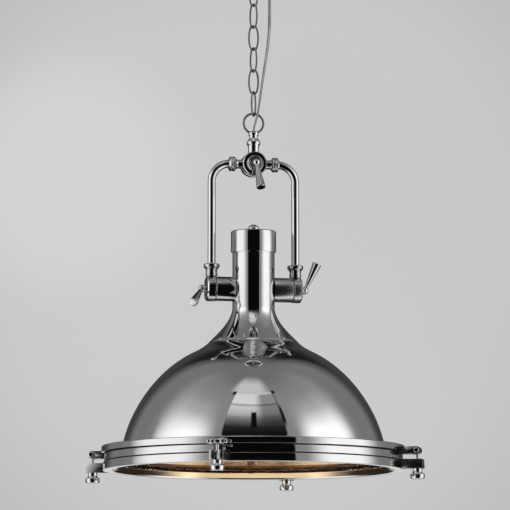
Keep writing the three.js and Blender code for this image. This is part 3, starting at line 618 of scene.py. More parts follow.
# Ceiling fitting
def bevelled_copy(name, node, material, bevel):
    """The CAD solid with its flat faces joined up and its edges rounded."""
    bm = bmesh.new()
    bm.from_mesh(frame["nodes"][node].data)
    bmesh.ops.remove_doubles(bm, verts=bm.verts, dist=MM / 1000)
    bmesh.ops.dissolve_limit(bm, angle_limit=math.radians(1), verts=bm.verts, edges=bm.edges)
    shell = Shell()
    shell.add(carved(mesh_from(bm, node), [], bevel, angle=35), material, at())
    shell.piece(name, node)


def rounded_bar(length, width):
    """Outline of a bar with round ends."""
    radius = width / 2
    reach = length / 2 - radius
    return arc(reach, 0, radius, -90, 90, 8) + arc(-reach, 0, radius, 90, 270, 8)


def make_bracket():
    """A slotted strap with a threaded boss that the canopy hangs on."""
    length, width, thickness, corner = 96 * MM, 24 * MM, 3 * MM, 3 * MM
    slot_spacing, slot_length, slot_width = 70 * MM, 14 * MM, 5 * MM
    overrun = MM
    plate = soften(rectangle(-length / 2, -width / 2, length / 2, width / 2), corner, 5, closed=True)
    slots = []
    for side in (-1, 1):
        bar = [(x + side * slot_spacing / 2, z) for x, z in rounded_bar(slot_length, slot_width)]
        slots.append(prism(bar, -thickness - overrun, overrun))
    shell = Shell()
    shell.add(carved(prism(plate, -thickness, 0), slots, 0.35 * MM), ZINC, FRONT)
    boss, bore, top, foot, bore_top = 9, 5.3, -2.9, -19, -8.7
    outline = [(0, top), (boss, top), (boss, foot), (bore, foot), (bore, bore_top), (0, bore_top)]
    shell.turned(rounded(outline, 0.5), ZINC, 64)
    shell.piece("bracket", "ceiling_bracket")


def make_canopy():
    """A shallow cup, open upwards, with a rolled lip."""
    radius, foot, corner, wall, hole, lip = 60, -42, 10, 1.5, 5.3, -0.3
    middle = radius - corner, foot + corner
    outer = [(hole, foot), *arc(*middle, corner, -90, 0, 10), (radius, -4), (radius, -0.7), (59.6, lip)]
    bend = arc(*middle, corner - wall, 0, -90, 10)
    inner = [(58.9, lip), (radius - wall, -0.7), *bend, (hole, foot + wall)]
    turned_piece("canopy_cup", "canopy", mm(outer + inner), CHROME, 128)


def make_loop():
    """The ring that carries the chain, with a turned collar and a stub in the boss."""
    shell = Shell()
    stub, collar, seat = 5, 11, -42.3
    outline = [(0, -49.3), (4.95, -49.3), (8.8, -46.85), (collar, -44.05), (collar, seat), (stub, seat)]
    shell.turned(rounded(outline + [(stub, -9), (0, -9)], 1.2), CHROME, 64)
    ring = [(x, 0, z) for x, z in arc(0, LOOP_CENTRE, LOOP_RADIUS, 0, 352.5, 47)]
    shell.swept(ring, LOOP_WIRE_RADIUS, CHROME, 16, closed=True, place=turn(-70))
    shell.piece("loop", "hanging_loop")


def make_bush():
    """The sleeve that the cord leaves the canopy through."""
    bore, wall, flange = 2.3, 4.2, 6
    foot, seat, top = -62.3, -42.3, -36.5
    outline = [
        (bore, foot), (3.3, foot), (wall, seat - 2), (flange, seat - 2), (flange, seat), (wall, seat),
        (wall, top), (bore, top),
    ]
    x, y, _ = CORD_STATIONS[0]
    turned_piece("bush", "cord_bush", rounded(outline, 0.6), CHROME, 48, at(x * MM, y * MM))


make_bracket()
make_canopy()
make_loop()
make_bush()
bevelled_copy("terminals", "terminal_block", NYLON, 0.5 * MM)


# Chain
WELD_SWELLING_SHARE = 0.05


def link_stations():
    """The middle of a link's wire: round ends joined by two long, slightly bowed sides."""
    half, width, end = LINK_HALF, 6.35 * MM, 4.7 * MM
    straight = half - end
    side = (straight**2 / (width - end) + end + width) / 2
    swing = math.degrees(math.atan2(straight, side - width))
    top = arc(0, straight, end, swing, 180 - swing, 12)
    left = arc(side - width, 0, side, 180 - swing, 180 + swing, 8)
    part = top + left[1:-1]
    return [(x, 0, z) for x, z in part + [(-x, -z) for x, z in part]]


def make_chain():
    stations = link_stations()
    count = len(stations)
    weld = count // 2 - 4

    def wire(share):
        away = abs(share * (count - 1) - weld)
        return WIRE_RADIUS * (1 + WELD_SWELLING_SHARE * max(0.0, 1 - away / 1.6))

    for i, degrees in enumerate(LINK_TURNS):
        shell = Shell()
        place = at(z=FIRST_LINK - i * LINK_PITCH) @ turn(degrees)
        shell.swept(stations, wire, CHROME_CHAIN, 14, closed=True, place=place)
        shell.piece(f"oval_link_{i + 1}", f"chain_link_{i + 1}", sharp=80)


make_chain()


# Ring, stem and hub
CORD_BORE = 2.7
HUB_RADIUS = 16.5
HUB_DEPTH = 16
HUB_GAP = 0.15


def make_hanger():
    """The ring and its turned stem, which is hollow for the cord."""
    radius, height, joint = 9.2, 45, 14.6
    stem_shares = [
        (0.57, 1), (0.72, 0.97), (0.78, 0.93), (0.72, 0.88), (0.61, 0.845), (0.65, 0.79), (0.85, 0.72),
        (1, 0.675), (1, 0.615), (0.86, 0.57), (0.8, 0.53), (0.78, 0.44), (0.83, 0.35),
    ]
    bore = [(0, 31), (CORD_BORE, 31), (CORD_BORE, height - 0.4), (3.4, height)]
    outer = [(radius * r, height * h) for r, h in stem_shares] + [(7.6, joint), (0, joint)]
    shell = Shell()
    shell.turned(rounded(bore + outer, 0.9, steps=4), CHROME, 72, at(z=HUB))
    ring = [(x, 0, z) for x, z in arc(0, RING, 13.4 * MM, -70, 250, 60)]
    shell.swept(ring, 1.5 * MM, CHROME_CHAIN, 16)
    shell.piece("hanger_stem", "ring_and_stem")


def make_hub_front():
    """The stepped front half of the hub. Heights are towards the viewer."""
    rim, step, boss = 10.3, 11.5, 10.9
    outline = [
        (CORD_BORE, HUB_GAP), (HUB_RADIUS, HUB_GAP), (HUB_RADIUS, rim), (15.3, step), (11.2, step),
        (boss, 12), (boss, 14.2), (9.7, 15.4), (8.2, 15.4), (7.9, HUB_DEPTH), (CORD_BORE, HUB_DEPTH),
    ]
    # The hub's face has the darker chrome, which is painted shade
    turned_piece("hub_face", "hub_front", rounded(outline, 0.45), SHADED_CHROME, 96, at(z=HUB) @ FRONT)


def make_hub_rear():
    """The rear half of the hub with a ridged socket on each side for a bail tube."""
    radius, depth, gap = HUB_RADIUS, HUB_DEPTH, HUB_GAP
    back = [(0, -depth), (9.9, -depth), (14.85, -13.7), (radius, -11.4), (radius, -gap), (0, -gap)]
    shell = Shell()
    shell.turned(rounded(back, 0.9), CHROME, 96, at(z=HUB) @ FRONT)
    radius, reach, bore, bore_end, root = 10, 34.2, 5.6, 24.2, 14.5
    socket_shares = [
        (0.66, 0.36), (0.62, 0.5), (0.6, 0.64), (0.68, 0.7), (0.92, 0.745), (1, 0.77), (1, 0.83),
        (0.9, 0.855), (0.9, 0.875), (1, 0.9), (1, 0.94), (0.88, 0.965), (0.7, 1),
    ]
    line = [(radius * r, reach * h) for r, h in socket_shares]
    line += [(bore, reach), (bore, bore_end), (0, bore_end)]
    socket = mm([(0, root)]) + rounded(line, 0.45)
    for side in (-1, 1):
        shell.turned(socket, CHROME, 64, at(z=HUB) @ side_on(side))
    shell.piece("hub_back", "hub_rear")


make_hanger()
make_hub_front()
make_hub_rear()


def lever(name, node, place, turn_degrees, screw_length):
    """Ball, washer and screw with a tapered handle that leans away from the face that place gives."""
    gap, washer, ball, seat_share = 0.3, 1.2, 4.9, 0.8
    lean = math.radians(24.7)
    shell = Shell()
    spin = place @ turn(turn_degrees)
    middle = at(z=(gap + washer + ball * seat_share) * MM)
    handle = [(0, 0), (2.2, 0), (2.4, 4), (6, 38.2), (6.2, 39.2), (5.9, 40), (4.6, 40.15), (0, 40.15)]
    leaning = spin @ middle @ Matrix.Rotation(math.pi / 2 - lean, 4, "Y")
    shell.turned(rounded(handle, 0.45), CHROME_LEVER, 48, leaning)
    round_side = arc(0, 0, ball, -90, 90, 24)[1:-1]
    shell.turned(mm([(0, -ball), *round_side, (0, ball)]), CHROME, 48, spin @ middle)
    washer_top = gap + washer
    disc = [(0, gap), (5.6, gap), (5.6, washer_top), (3.6, washer_top + 0.4), (0, washer_top + 0.4)]
    shell.turned(rounded(disc, 0.3), CHROME, 48, spin)
    radius, end = 2.4, -screw_length
    screw = [(0, end), (radius - 0.2, end), (radius, end + 0.4), (radius, 4), (0, 4)]
    shell.turned(mm(screw), ZINC, 24, spin)
    shell.piece(name, node)


lever("hub_clamp_lever", "hub_lever", at(z=HUB) @ FRONT @ at(z=HUB_DEPTH * MM), -85.4, 29.1)


# Bail
BAIL_REACH = 57
TUBE_BORE = 5.55
PIVOT_FACE = 52.2
PIVOT_GAP = 1
BLOCK_END = 64.6


def make_bail_arm(word, side):
    """A bent tube from the hub's socket out and down to the end block's collar."""
    bend, foot = 24, -148.7
    curve = arc(BAIL_REACH - bend, -bend, bend, 90, 0, 28)
    line = [(24.6, 0), *curve, (BAIL_REACH, -100), (BAIL_REACH, foot)]
    shell = Shell()
    stations = [(side * x * MM, 0, HUB + z * MM) for x, z in line]
    shell.swept(stations, 5.3 * MM, CHROME, 40)
    shell.piece(f"bail_arm_{word}", f"bail_tube_{word}", sharp=60)


def make_trunnion(word, side):
    """An end block with a spigot into the head, a collar for the tube and a rubber washer."""
    spigot, block, spigot_end = 8, 17, 40.9
    face = PIVOT_FACE + PIVOT_GAP
    outline = [
        (0, spigot_end), (spigot - 0.4, spigot_end), (spigot, spigot_end + 0.4), (spigot, face),
        (block - 0.4, face), (block, face + 0.4), (block, 63), (15.4, BLOCK_END), (13, BLOCK_END),
        (12.7, 64.35), (6.8, 64.35), (0, 64.35),
    ]
    across = at(z=PIVOT) @ side_on(side)
    shell = Shell()
    shell.turned(rounded(outline, 0.3), CHROME_SATIN if side > 0 else CHROME, 96, across)
    radius, height, root, bore_end = 10.6, 34, 16.5, 20
    collar_shares = [
        (0.7, 0.49), (0.76, 0.55), (0.77, 0.6), (0.72, 0.66), (0.72, 0.72), (0.78, 0.775), (0.92, 0.82),
        (1, 0.86), (1.02, 0.9), (1, 0.95), (0.93, 0.98), (0.82, 0.985), (0.72, 0.96), (0.62, 0.93),
    ]
    line = [(radius * r, height * h) for r, h in collar_shares]
    line += [(TUBE_BORE, 31.4), (TUBE_BORE, bore_end), (0, bore_end)]
    collar = mm([(0, root)]) + rounded(line, 0.5)
    # The collar has the darker chrome, which is painted shade
    shell.turned(collar, SHADED_CHROME, 64, at(side * BAIL_REACH * MM, 0, PIVOT))
    washer = rectangle(8.4, PIVOT_FACE + 0.05, 15.9, face + 0.2)
    shell.turned(mm(washer), RUBBER_AND_SHADOW, 64, across)
    shell.piece(f"trunnion_{word}", f"end_block_{word}")


for word, side, lever_turn in (("left", -1, -128.3), ("right", 1, 180)):
    make_bail_arm(word, side)
    make_trunnion(word, side)
    block_face = at(z=PIVOT) @ side_on(side) @ at(z=BLOCK_END * MM)
    lever(f"{word}_clamp_lever", f"side_lever_{word}", block_face, lever_turn, 23.1)


# Column, whose heights are above the rim's foot
COLUMN_RADIUS = 28.2
COLUMN_TOP = 306
FLARE_FOOT = 169.6


def make_column():
    """A tube with a flared foot, and a sleeve on each side for the end block's spigot."""
    radius, bore, flare_top, seat = COLUMN_RADIUS, COLUMN_RADIUS - 3, 218, 169.32
    outer = bezier((61, FLARE_FOOT), (46, 184), (radius, 201), (radius, flare_top), 28)
    inner = bezier((54, FLARE_FOOT), (41, 184), (bore, 201), (bore, flare_top), 16)
    outline = [(54, seat), (60.4, seat), *outer[1:], (radius, COLUMN_TOP), (bore, COLUMN_TOP), *inner[:0:-1]]
    shell = Shell()
    shell.turned(mm(outline, RIM), CHROME_CAST, 128)
    sleeve, sleeve_bore, bore_end, root = 16.4, 8.3, 38.6, 26.6
    line = [
        (0, root), (sleeve, root), (sleeve, PIVOT_FACE - 0.4), (16, PIVOT_FACE), (sleeve_bore, PIVOT_FACE),
        (sleeve_bore, bore_end), (0, bore_end),
    ]
    for side in (-1, 1):
        finish = CHROME_SATIN if side > 0 else CHROME_CAST
        shell.turned(rounded(line, 0.25), finish, 96, at(z=PIVOT) @ side_on(side))
    shell.piece("column_body", "column")


def make_foot_screws():
    """Four round-headed screws that stand square on the column's flared foot."""
    slope = math.atan2(15, 14.4)
    radius, foot, edge, top = 2.3, -0.6, 0.5, 1.45
    head = [(0, foot), (radius, foot), (radius, edge), (1.9, 1.1), (1.1, top), (0.95, top)]
    head += [(0.8, edge), (0, edge)]
    seat = at(58.4 * MM, 0, RIM + 172.3 * MM) @ Matrix.Rotation(math.pi / 2 - slope, 4, "Y")
    for i in range(4):
        shell = Shell()
        shell.turned(rounded(head, 0.2), CHROME, 24, turn(-59 + 90 * i) @ seat)
        screw = shell.finished(f"foot_screw_{i + 1}")
        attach(screw, "head")


def make_lid():
    """The cap over the column, its round nut, and the threaded rod that holds them."""
    radius, wall, foot, top, hole = 30.3, 1.8, 290.7, 320.4, 5.3
    inside, roof = radius - wall, 318
    outline = [
        (radius, foot), (radius, top - 1.2), (radius - 1.2, top), (hole, top), (hole, roof), (inside, roof),
        (inside, foot),
    ]
    turned_piece("column_lid", "column_cap", rounded(outline, 0.35, RIM), CHROME_CAST, 128)

    nut_foot, thread_end, crown_foot, crown_height = 320.7, 326.7, 323.6, 6.1
    crown = [(7.3 * c, crown_foot + crown_height * s) for c, s in arc(0, 0, 1, 0, 84, 14)]
    nut = [(0, thread_end), (hole, thread_end), (hole, nut_foot), (7.1, nut_foot), (7.5, 321.1)]
    nut += [(7.5, 322.3), (7.2, 322.6), (7.1, 322.9), *crown, (0, crown_foot + crown_height)]
    turned_piece("lid_nut", "cap_nut", mm(nut, RIM), CHROME, 64)

    rod, root, low, turns = 5, 4.7, 230.3, 96
    thread = [(0, low)]
    for k in range(turns):
        thread += [(root, low + k), (rod, low + k + 0.5)]
    thread += [(root, low + turns), (0, low + turns)]
    turned_piece("threaded_rod", "tie_rod", mm(thread, RIM), ZINC, 32)


make_column()
make_foot_screws()
make_lid()


# Dome and rim, whose heights are above the rim's foot
def make_dome():
    """A spun bowl, chrome outside and gold inside, with a flat hem that turns down at its edge."""
    crown, hem, wall, hem_foot, hem_radius, hem_inside = 169.3, 31.5, 1.5, 22.7, 202, 196
    opening = 44
    shoulder = bezier((61, crown), (68, 162.6), (76, 159), (85, 154.5), 10)
    side = bezier((85, 154.5), (131, 130.5), (165.5, 79), (174.5, hem), 44)
    outer = shoulder + side[1:-1]
    inner = beside(outer, wall)[::-1]
    foot = bezier(side[-2], (174.3, 32.4), (174.9, hem), (177, hem), 5)[1:]
    edge = soften([(177, hem), (hem_radius, hem), (hem_radius, 27)], 1.6, 6)[1:-1]
    roof = hem - wall
    corner = (173, roof)
    under = [(hem_radius, 27), (hem_radius, hem_foot), (hem_inside, hem_foot), (hem_inside, roof), corner]
    edge += soften(under, 0.45)[1:-1]
    outside = [(opening, crown)] + outer + foot + edge
    outline = mm(outside + [corner] + inner[:-1] + [(opening, crown - wall)], RIM)
    lacquered = set(outline[len(outside) - 1:])

    def lacquer(a, b):
        return GOLD if a in lacquered else None

    turned_piece("spun_dome", "dome", outline, CHROME, 256, inner=lacquer, sharp=40)


LUG_WIDTH = 17.7


def clamp_place(index):
    return turn(CLAMP_TURN + 360 / CLAMP_COUNT * index)


def slab(outline, width):
    """A mesh with a flat outline above the rim's foot, and with its width evenly to both sides."""
    return prism(mm(outline, RIM), -width / 2 * MM, width / 2 * MM)


def add_lugs(shell, lug):
    for i in range(CLAMP_COUNT):
        shell.add(lug, CHROME_SATIN, clamp_place(i))


def make_fork():
    """The ear that holds an eye bolt's pin, with a gap for the bolt and a chamfer along the hem."""
    height, radius, gap, reach = 23.8, 5, 8.6, 12
    side = [(197, height - radius)] + arc(220.5, height, radius, -90, 90, 12) + [(197, height + radius)]
    gap_cut = slab(rectangle(214, 0, 232, 48), gap)
    hem_cut = slab(rectangle(190, 22.2, 202.3, 32), 2 * reach)
    pin = at(CLAMP_RADIUS, 0, CLAMP_HEIGHT) @ FRONT
    pin_hole = cylinder_mesh(2.5 * MM, -reach * MM, reach * MM, pin, 48)
    return carved(slab(side, LUG_WIDTH), [gap_cut, hem_cut, pin_hole], 0.4 * MM)


def make_rim_band():
    """The channel under the dome's hem, with its neck wall painted black as the shadow in the gap under the
    hem, a gold inside with painted light and shade, and four forked ears.
    """
    inside, neck, outside = 186, 195.7, 198.3
    foot, floor, flange, roof, top = 11.4, 14.4, 21.2, 26.7, 29.7
    band = [
        (inside, foot), (196.3, foot), (196.9, foot + 0.6), (outside, foot + 0.6), (outside, flange),
        (neck, flange), (neck, top), (inside, top), (inside, roof), (neck - 5.8, roof), (neck - 3, 19.2),
        (neck - 3, 16), (189, floor), (inside, floor),
    ]

    # Painted light and shade on the channel's faces: the neck wall gets the black rubber as painted shadow
    # in the gap, and the gold inside is painted pale at the top, brown lower down and nearly black at the
    # lip
    def band_side(a, b):
        if min(a[0], b[0]) > (neck - 0.6) * MM and max(a[0], b[0]) < (neck + 0.3) * MM:
            return RUBBER_AND_SHADOW
        if max(a[0], b[0]) > (neck - 2.5) * MM:
            return None
        height = (a[1] + b[1]) / 2 - RIM
        if height > 19.4 * MM:
            return LIT_GOLD
        return SHADED_GOLD if height > 15.9 * MM else SHADE_BRONZE

    shell = Shell()
    shell.turned(rounded(band, 0.4, RIM), CHROME, 256, inner=band_side)
    add_lugs(shell, make_fork())
    shell.piece("rim_channel", "rim_band")


def make_slotted_lug():
    """The block under a fork, with a slot, open outwards, for the eye bolt's shank."""
    root, seat, tip, height, chamfer, slot_radius, overrun = 198, 198.9, 228.8, 12.4, 0.75, 2.5, 1.6
    outline = [(root, 0), (tip - chamfer, 0), (tip, 1.5), (tip - chamfer, height)]
    outline += [(seat, height), (seat, 9), (root, 9)]
    low, high = RIM - MM, RIM + (height + overrun) * MM
    slot_end = cylinder_mesh(slot_radius * MM, low, high, at(CLAMP_RADIUS, 0, 0), 32)
    slot = prism(rectangle(CLAMP_RADIUS, low, 232 * MM, high), -slot_radius * MM, slot_radius * MM)
    return carved(slab(outline, LUG_WIDTH), [slot_end, slot], 0.5 * MM)


def make_lens_ring():
    """The ring under the pane, gold on its inner slope with painted light on the walls and painted shade
    just above its foot, and four slotted lugs.
    """
    outer, step, foot_inside, lip = 200, 198.3, 187.4, 181.7
    top, ledge, lip_top, slope_foot = 10.4, 9.1, 8.4, 1.8
    outline = [
        (foot_inside, 0), (outer, 0), (outer, top), (step, top), (step - 1, ledge), (191, ledge),
        (191, lip_top), (lip, lip_top), (lip, lip_top - 0.6), (186.8, slope_foot),
    ]

    # Painted light and shade on the inner faces: pale gold as painted light, and brown gold as painted shade
    # just above the foot
    def ring_side(a, b):
        if max(a[0], b[0]) > 191.5 * MM or min(a[1], b[1]) < RIM + 0.3 * MM:
            return None
        return SHADED_GOLD if (a[1] + b[1]) / 2 < RIM + slope_foot * MM else LIT_GOLD

    shell = Shell()
    shell.turned(rounded(outline, 0.4, RIM, 4), CHROME, 256, inner=ring_side)
    add_lugs(shell, make_slotted_lug())
    shell.piece("lens_frame", "lens_ring")


PANE_TOP = 11
RETAINER_FOOT = 11.3
RETAINER_TOP = 12.5


def make_seal():
    outline = rounded(rectangle(191.3, 9.2, 196.6, RETAINER_FOOT), 0.3, RIM)
    turned_piece("rim_seal", "gasket", outline, RUBBER_AND_SHADOW, 192)


def make_pane():
    outline = rounded(rectangle(0, PANE_TOP - 2.4, 190.4, PANE_TOP), 0.5, RIM, 2)
    turned_piece("lens_pane", "lens_glass", outline, LENS, 192)


def make_retainer():
    """A thin hoop on the pane with tabs that point inwards."""
    tab_count, tab_width, tab_end = 9, 8, 176.1
    shell = Shell()
    hoop = rectangle(183.1, RETAINER_FOOT, 185.7, RETAINER_TOP)
    # The hoop and tabs have the same nearly black bronze that is painted shadow in the rim channel
    shell.turned(rounded(hoop, 0.25, RIM), SHADE_BRONZE, 192)
    tab = mm(rectangle(tab_end, -tab_width / 2, 184, tab_width / 2))
    tab = carved(prism(tab, -RIM - RETAINER_TOP * MM, -RIM - RETAINER_FOOT * MM), [], 0.3 * MM)
    for i in range(tab_count):
        shell.add(tab, SHADE_BRONZE, turn(360 / tab_count * i) @ Matrix.Rotation(-math.pi / 2, 4, "X"))
    shell.piece("pane_retainer", "lens_retainer")


make_dome()
make_rim_band()
make_seal()
make_lens_ring()
make_pane()
make_retainer()


# Clamps, whose outlines are measured from the pivot
def make_pin(number, pivot):
    radius, head, under, end = 2.2, 3.7, 9.15, 13.35
    half = [(head, under), (head, 12), (3.2, 12.9), (radius, end), (0, end)]
    outline = [(r, -z) for r, z in half[::-1]] + [(radius, -under), (radius, under)] + half
    outline = rounded(outline, 0.35)
    turned_piece(f"hinge_pin_{number}", f"pivot_pin_{number}", outline, CHROME, 40, pivot @ FRONT)


def make_bolt(number, pivot):
    """An eye round the pin with a threaded shank below it."""
    radius, root, thread_top, pitch, turns, end = 2, 1.75, -16.2, 0.8, 26, -37.3
    shell = Shell()
    shell.turned(rounded(rectangle(2.5, -4, 4.6, 4), 0.5), CHROME, 40, pivot @ FRONT)
    shank = [(0, -4.2), (radius, -4.2), (radius, -16)]
    for k in range(turns):
        top = thread_top - pitch * k
        shank += [(radius, top), (root, top - pitch / 2)]
    shank += [(1.6, end + 0.1), (0, end)]
    shell.turned(mm(shank), CHROME, 24, pivot)
    shell.piece(f"swing_bolt_{number}", f"eye_bolt_{number}")


def make_nut(number, pivot):
    """A waisted thumb nut under the slotted lug."""
    bore, neck, waist, grip, foot = 2.3, 6.4, 6.2, 9.65, -13.2
    outline = [
        (bore, 0), (neck, 0), (6.6, -0.3), (waist, -2), (waist, -4.5), (7.3, -6.2), (9.3, -7), (grip, -7.9),
        (grip, -11.6), (8.9, foot), (5.2, foot), (4.8, foot + 0.3), (bore, foot + 0.3),
    ]
    place = pivot @ at(z=-24.1 * MM)
    turned_piece(f"clamp_nut_{number}", f"thumb_nut_{number}", rounded(outline, 0.4), CHROME, 48, place)


for i in range(CLAMP_COUNT):
    pivot = clamp_place(i) @ at(CLAMP_RADIUS, 0, CLAMP_HEIGHT)
    make_pin(i + 1, pivot)
    make_bolt(i + 1, pivot)
    make_nut(i + 1, pivot)


# Lampholder and bulb, whose heights are above the rim's foot
def make_lampholder():
    radius, mouth, foot, floor, shoulder, top, hole = 20, 13.6, 192, 224, 233, 238, 5.3
    outline = mm([
        (mouth, foot), (radius - 0.6, foot), (radius, foot + 0.6), (radius, 205), (19.2, 206),
        (19.2, 207.5), (radius, 208.5), (radius, shoulder), (15, top), (hole, top), (hole, 230), (0, 230),
        (0, floor), (mouth, floor),
    ], RIM)
    turned_piece("holder", "lampholder", soften(outline, 0.6 * MM), PORCELAIN, 64)


def make_bulb_glass():
    """A pear-shaped envelope, open at its neck."""
    radius, bottom, height, wall = 30, 116.7, 78, 1
    pear_shares = [
        (0.413, 1), (0.44, 0.97), (0.52, 0.87), (0.72, 0.73), (0.93, 0.56), (1, 0.4), (0.95, 0.24),
        (0.78, 0.11), (0.52, 0.03), (0.2, 0.003), (0, 0),
    ]
    line = spline([Vector((radius * r, bottom + height * h, 0)) for r, h in pear_shares], 5)
    outer = [(max(0.0, min(radius, p.x)), p.y) for p in line]
    inner = [(0, bottom + wall)]
    for r, z in outer[:-4][::-1]:
        inner.append((max(r - wall, 0.0), z + (wall if z < bottom + 8 else 0)))
    outline = mm(outer + inner, RIM)
    turned_piece("bulb_envelope", "bulb_glass", outline, OPAL, 72)


def make_bulb_base():
    """A screw base with a round thread and a contact at its top."""
    foot, pitch, root, crest = 195, 3.4, 12.1, 13.05
    thread = [(0, foot), (12.4, foot), (12.9, foot + 0.4)]
    for k in range(5):
        z = foot + 1.6 + pitch * k
        thread += [(root, z), (12.3, z + 0.8), (crest, z + 1.5), (crest, z + 2.1), (12.3, z + 2.8)]
    thread += [(root, 214.4), (11, 216.2), (6.6, 219), (3.9, 219.2), (3.6, 220.6), (0, 221)]
    turned_piece("bulb_base", "bulb_cap", mm(thread, RIM), BRASS, 64)


make_lampholder()
make_bulb_glass()
make_bulb_base()


# Studio
CHROME_REFLECTANCE = 0.62


def seen(value):
    """Linear strength of a studio tone that polished chrome shows as this display value."""
    share = value / 255
    linear = share / 12.92 if share <= 0.04045 else ((share + 0.055) / 1.055) ** 2.4
    return linear / CHROME_REFLECTANCE


# The lamp hangs in a tent of pale cloth that is open towards the camera. Each panel is given by its left
# and right ends and their softness, its foot and top and their softness, its tone, and for some their
# cover. Turns are in degrees to the right of the camera, and heights in degrees above the horizon.
BACK_TONE = 26
PANELS = (
    ((-180, 180), (1, 1), (-12, -1), (2, 1), 176),
    ((-165, 165), (4, 4), (-62, -1), (1, 1), 34),
    ((-180, 180), (1, 1), (-1, 36), (1, 10), 66, 0.64),
    ((-150, 150), (3, 3), (-4, 120), (2, 1), 70),
    ((-142, 142), (8, 8), (-4, 120), (2, 1), 110),
    ((-112, 112), (10, 10), (-62, 120), (1, 1), 127),
    ((-99, -47), (15, 14), (-62, 50), (1, 11), 172),
    ((50, 98), (14, 15), (-62, 50), (1, 11), 176),
    ((-97, -47), (14, 14), (-62, 33), (1, 13), 236),
    ((52, 98), (12, 12), (-62, 34), (1, 13), 245),
    ((-85, -48), (15, 14), (19, 33), (5, 13), 257),
    ((54, 94), (12, 13), (19, 34), (5, 13), 264),
    ((-110, -104), (4, 4), (-62, 28), (1, 6), 88, 0.5),
    ((-180, 180), (1, 1), (70, 120), (12, 1), 104),
    ((-38, 24), (10, 14), (67, 80), (1, 6), 186),
)
OPENING = ((-30, 32), (1, 1), (-120, 67), (1, 1))
OPENING_TONES = (
    (28, 8), (36, 34), (41, 88), (45, 124), (48, 168), (54.6, 196), (56.4, 146), (58, 208), (67, 204),
)
DETAILS = (
    ((7, 32), (7, 1), (37, 66), (3, 1), 30, 0.64),
    ((-2.6, 3.4), (1, 1), (35.5, 50), (1.5, 1), 13),
    ((31, 34.5), (0.8, 1.2), (38, 54), (4, 3), 8),
    ((31, 33.4), (0.8, 1.2), (50, 68), (4, 1), 50, 0.6),
    ((-36, -30), (1.5, 1), (64.6, 67.6), (0.8, 0.8), 6, 0.95),
    ((32, 38), (1, 1.5), (65.4, 68.2), (0.8, 0.8), 8, 0.95),
)
GROUND = ((-180, 180), (1, 1), (-120, -62), (1, 3), 196)

# Where the backdrop is darker or paler: a centre in degrees right of and above the way the camera looks
# along, how far from it the change starts and is full, and the tone
BACKDROP_TONES = (
    ((0, 7.2), 3.6, 6.4, 0.51),
    ((-3, 8.5), 2.4, 0.3, 0.655),
)
BACKDROP_DARK, BACKDROP_LIGHT = 0.575, 0.605


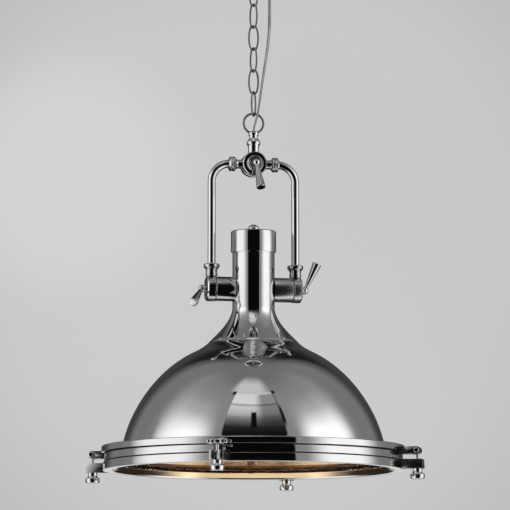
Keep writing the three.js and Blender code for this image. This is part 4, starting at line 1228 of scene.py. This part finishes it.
def make_world():
    world = bpy.data.worlds.new("studio")
    bpy.context.scene.world = world
    paint = Paint(world)
    direction = paint.node("TexCoord", "Generated")

    def along(axis):
        return paint.node("VectorMath", "Value", {0: direction, 1: axis}, operation="DOT_PRODUCT")

    def maths(operation, *sources):
        return paint.node("Math", "Value", dict(enumerate(sources)), operation=operation)

    def mixed(factor, first, second):
        return paint.node("Mix", 2, {"Factor": factor, 6: first, 7: second}, data_type="RGBA")

    def between(source, low, high):
        return paint.spread(source, 0, 1, low, high, interpolation_type="SMOOTHSTEP")

    def within(source, ends, edges):
        rise = between(source, ends[0] - edges[0], ends[0] + edges[0])
        fall = between(source, ends[1] + edges[1], ends[1] - edges[1])
        return maths("MULTIPLY", rise, fall)

    sideways = maths("DEGREES", maths("ARCTAN2", along(VIEW_RIGHT), along(VIEW_TOWARD)))
    height = maths("DEGREES", maths("ARCSINE", along((0, 0, 1))))

    def over(tone, turns, turn_edges, heights, height_edges, value, cover=1):
        """The tone with a panel in front, whose value is a display value or the output of a node."""
        share = maths("MULTIPLY", within(height, heights, height_edges), cover)
        if turns[1] < 180:
            share = maths("MULTIPLY", share, within(sideways, turns, turn_edges))
        colour = value if isinstance(value, bpy.types.NodeSocket) else grey(seen(value))
        return mixed(share, tone, colour)

    tone = grey(seen(BACK_TONE))
    for row in PANELS:
        tone = over(tone, *row)
    inside = paint.ramp(maths("DIVIDE", height, 90), [(h / 90, seen(v)) for h, v in OPENING_TONES])
    tone = over(tone, *OPENING, inside)
    for row in DETAILS + (GROUND,):
        tone = over(tone, *row)

    cloud = paint.node("TexNoise", "Fac", {"Vector": direction, "Scale": 9, "Detail": 1})
    backdrop = paint.ramp(cloud, [(0.3, BACKDROP_DARK), (0.7, BACKDROP_LIGHT)])
    for centre, start, full, value in BACKDROP_TONES:
        right, up = math.radians(centre[0]), math.radians(centre[1])
        ahead = math.cos(up) * (math.sin(right) * VIEW_RIGHT - math.cos(right) * VIEW_TOWARD)
        ahead.z += math.sin(up)
        edges = math.cos(math.radians(start)), math.cos(math.radians(full))
        backdrop = mixed(between(along(tuple(ahead)), *edges), backdrop, grey(value))

    seen_directly = paint.node("LightPath", "Is Camera Ray")
    seen_through = paint.node("LightPath", "Is Transmission Ray")
    colour = mixed(maths("MAXIMUM", seen_directly, seen_through), tone, backdrop)
    paint.feed(paint.nodes["Background"].inputs["Color"], colour)


make_world()


# The floor is far below the lamp, and as pale to the camera as the backdrop
FLOOR_HEIGHT = -5
FLOOR_RADIUS = 60
FLOOR_GLOW = 0.24


def make_floor():
    paint = Paint(bpy.data.materials.new("pale_floor"))
    clouds = paint.noise(2, 4)
    paint.set("Base Color", paint.ramp(clouds, [(0.3, 0.76), (0.7, 0.80)]))
    paint.set("Roughness", paint.spread(clouds, 0.6, 0.8))
    seen_directly = paint.node("LightPath", "Is Camera Ray")
    glow = paint.node("Math", "Value", {0: seen_directly, 1: FLOOR_GLOW}, operation="MULTIPLY")
    paint.set("Emission Strength", glow)
    paint.set("Emission Color", (1, 1, 1, 1))
    bm = bmesh.new()
    bmesh.ops.create_circle(bm, cap_ends=True, radius=FLOOR_RADIUS, segments=96)
    floor = linked("floor", mesh_from(bm, "floor"))
    floor.data.materials.append(paint.owner)
    floor.location.z = FLOOR_HEIGHT
    floor.visible_glossy = False


LAMP_AIM = Vector((0, 0, -0.5))
LAMP_SIZE = 2.2
LAMP_POWER = 90


def soft_lamp(name, place):
    """A round area lamp that chrome and glass don't show."""
    data = bpy.data.lights.new(name, "AREA")
    data.shape = "DISK"
    data.size = LAMP_SIZE
    data.energy = LAMP_POWER
    lamp = linked(name, data)
    lamp.location = place
    lamp.rotation_euler = (LAMP_AIM - Vector(place)).to_track_quat("-Z", "Y").to_euler()
    lamp.visible_glossy = False
    lamp.visible_transmission = False


make_floor()
soft_lamp("lamp_left", (-3.2, -2.4, 1.4))
soft_lamp("lamp_right", (3.4, -1.8, 1.2))

bpy.context.scene.view_settings.view_transform = "Standard"
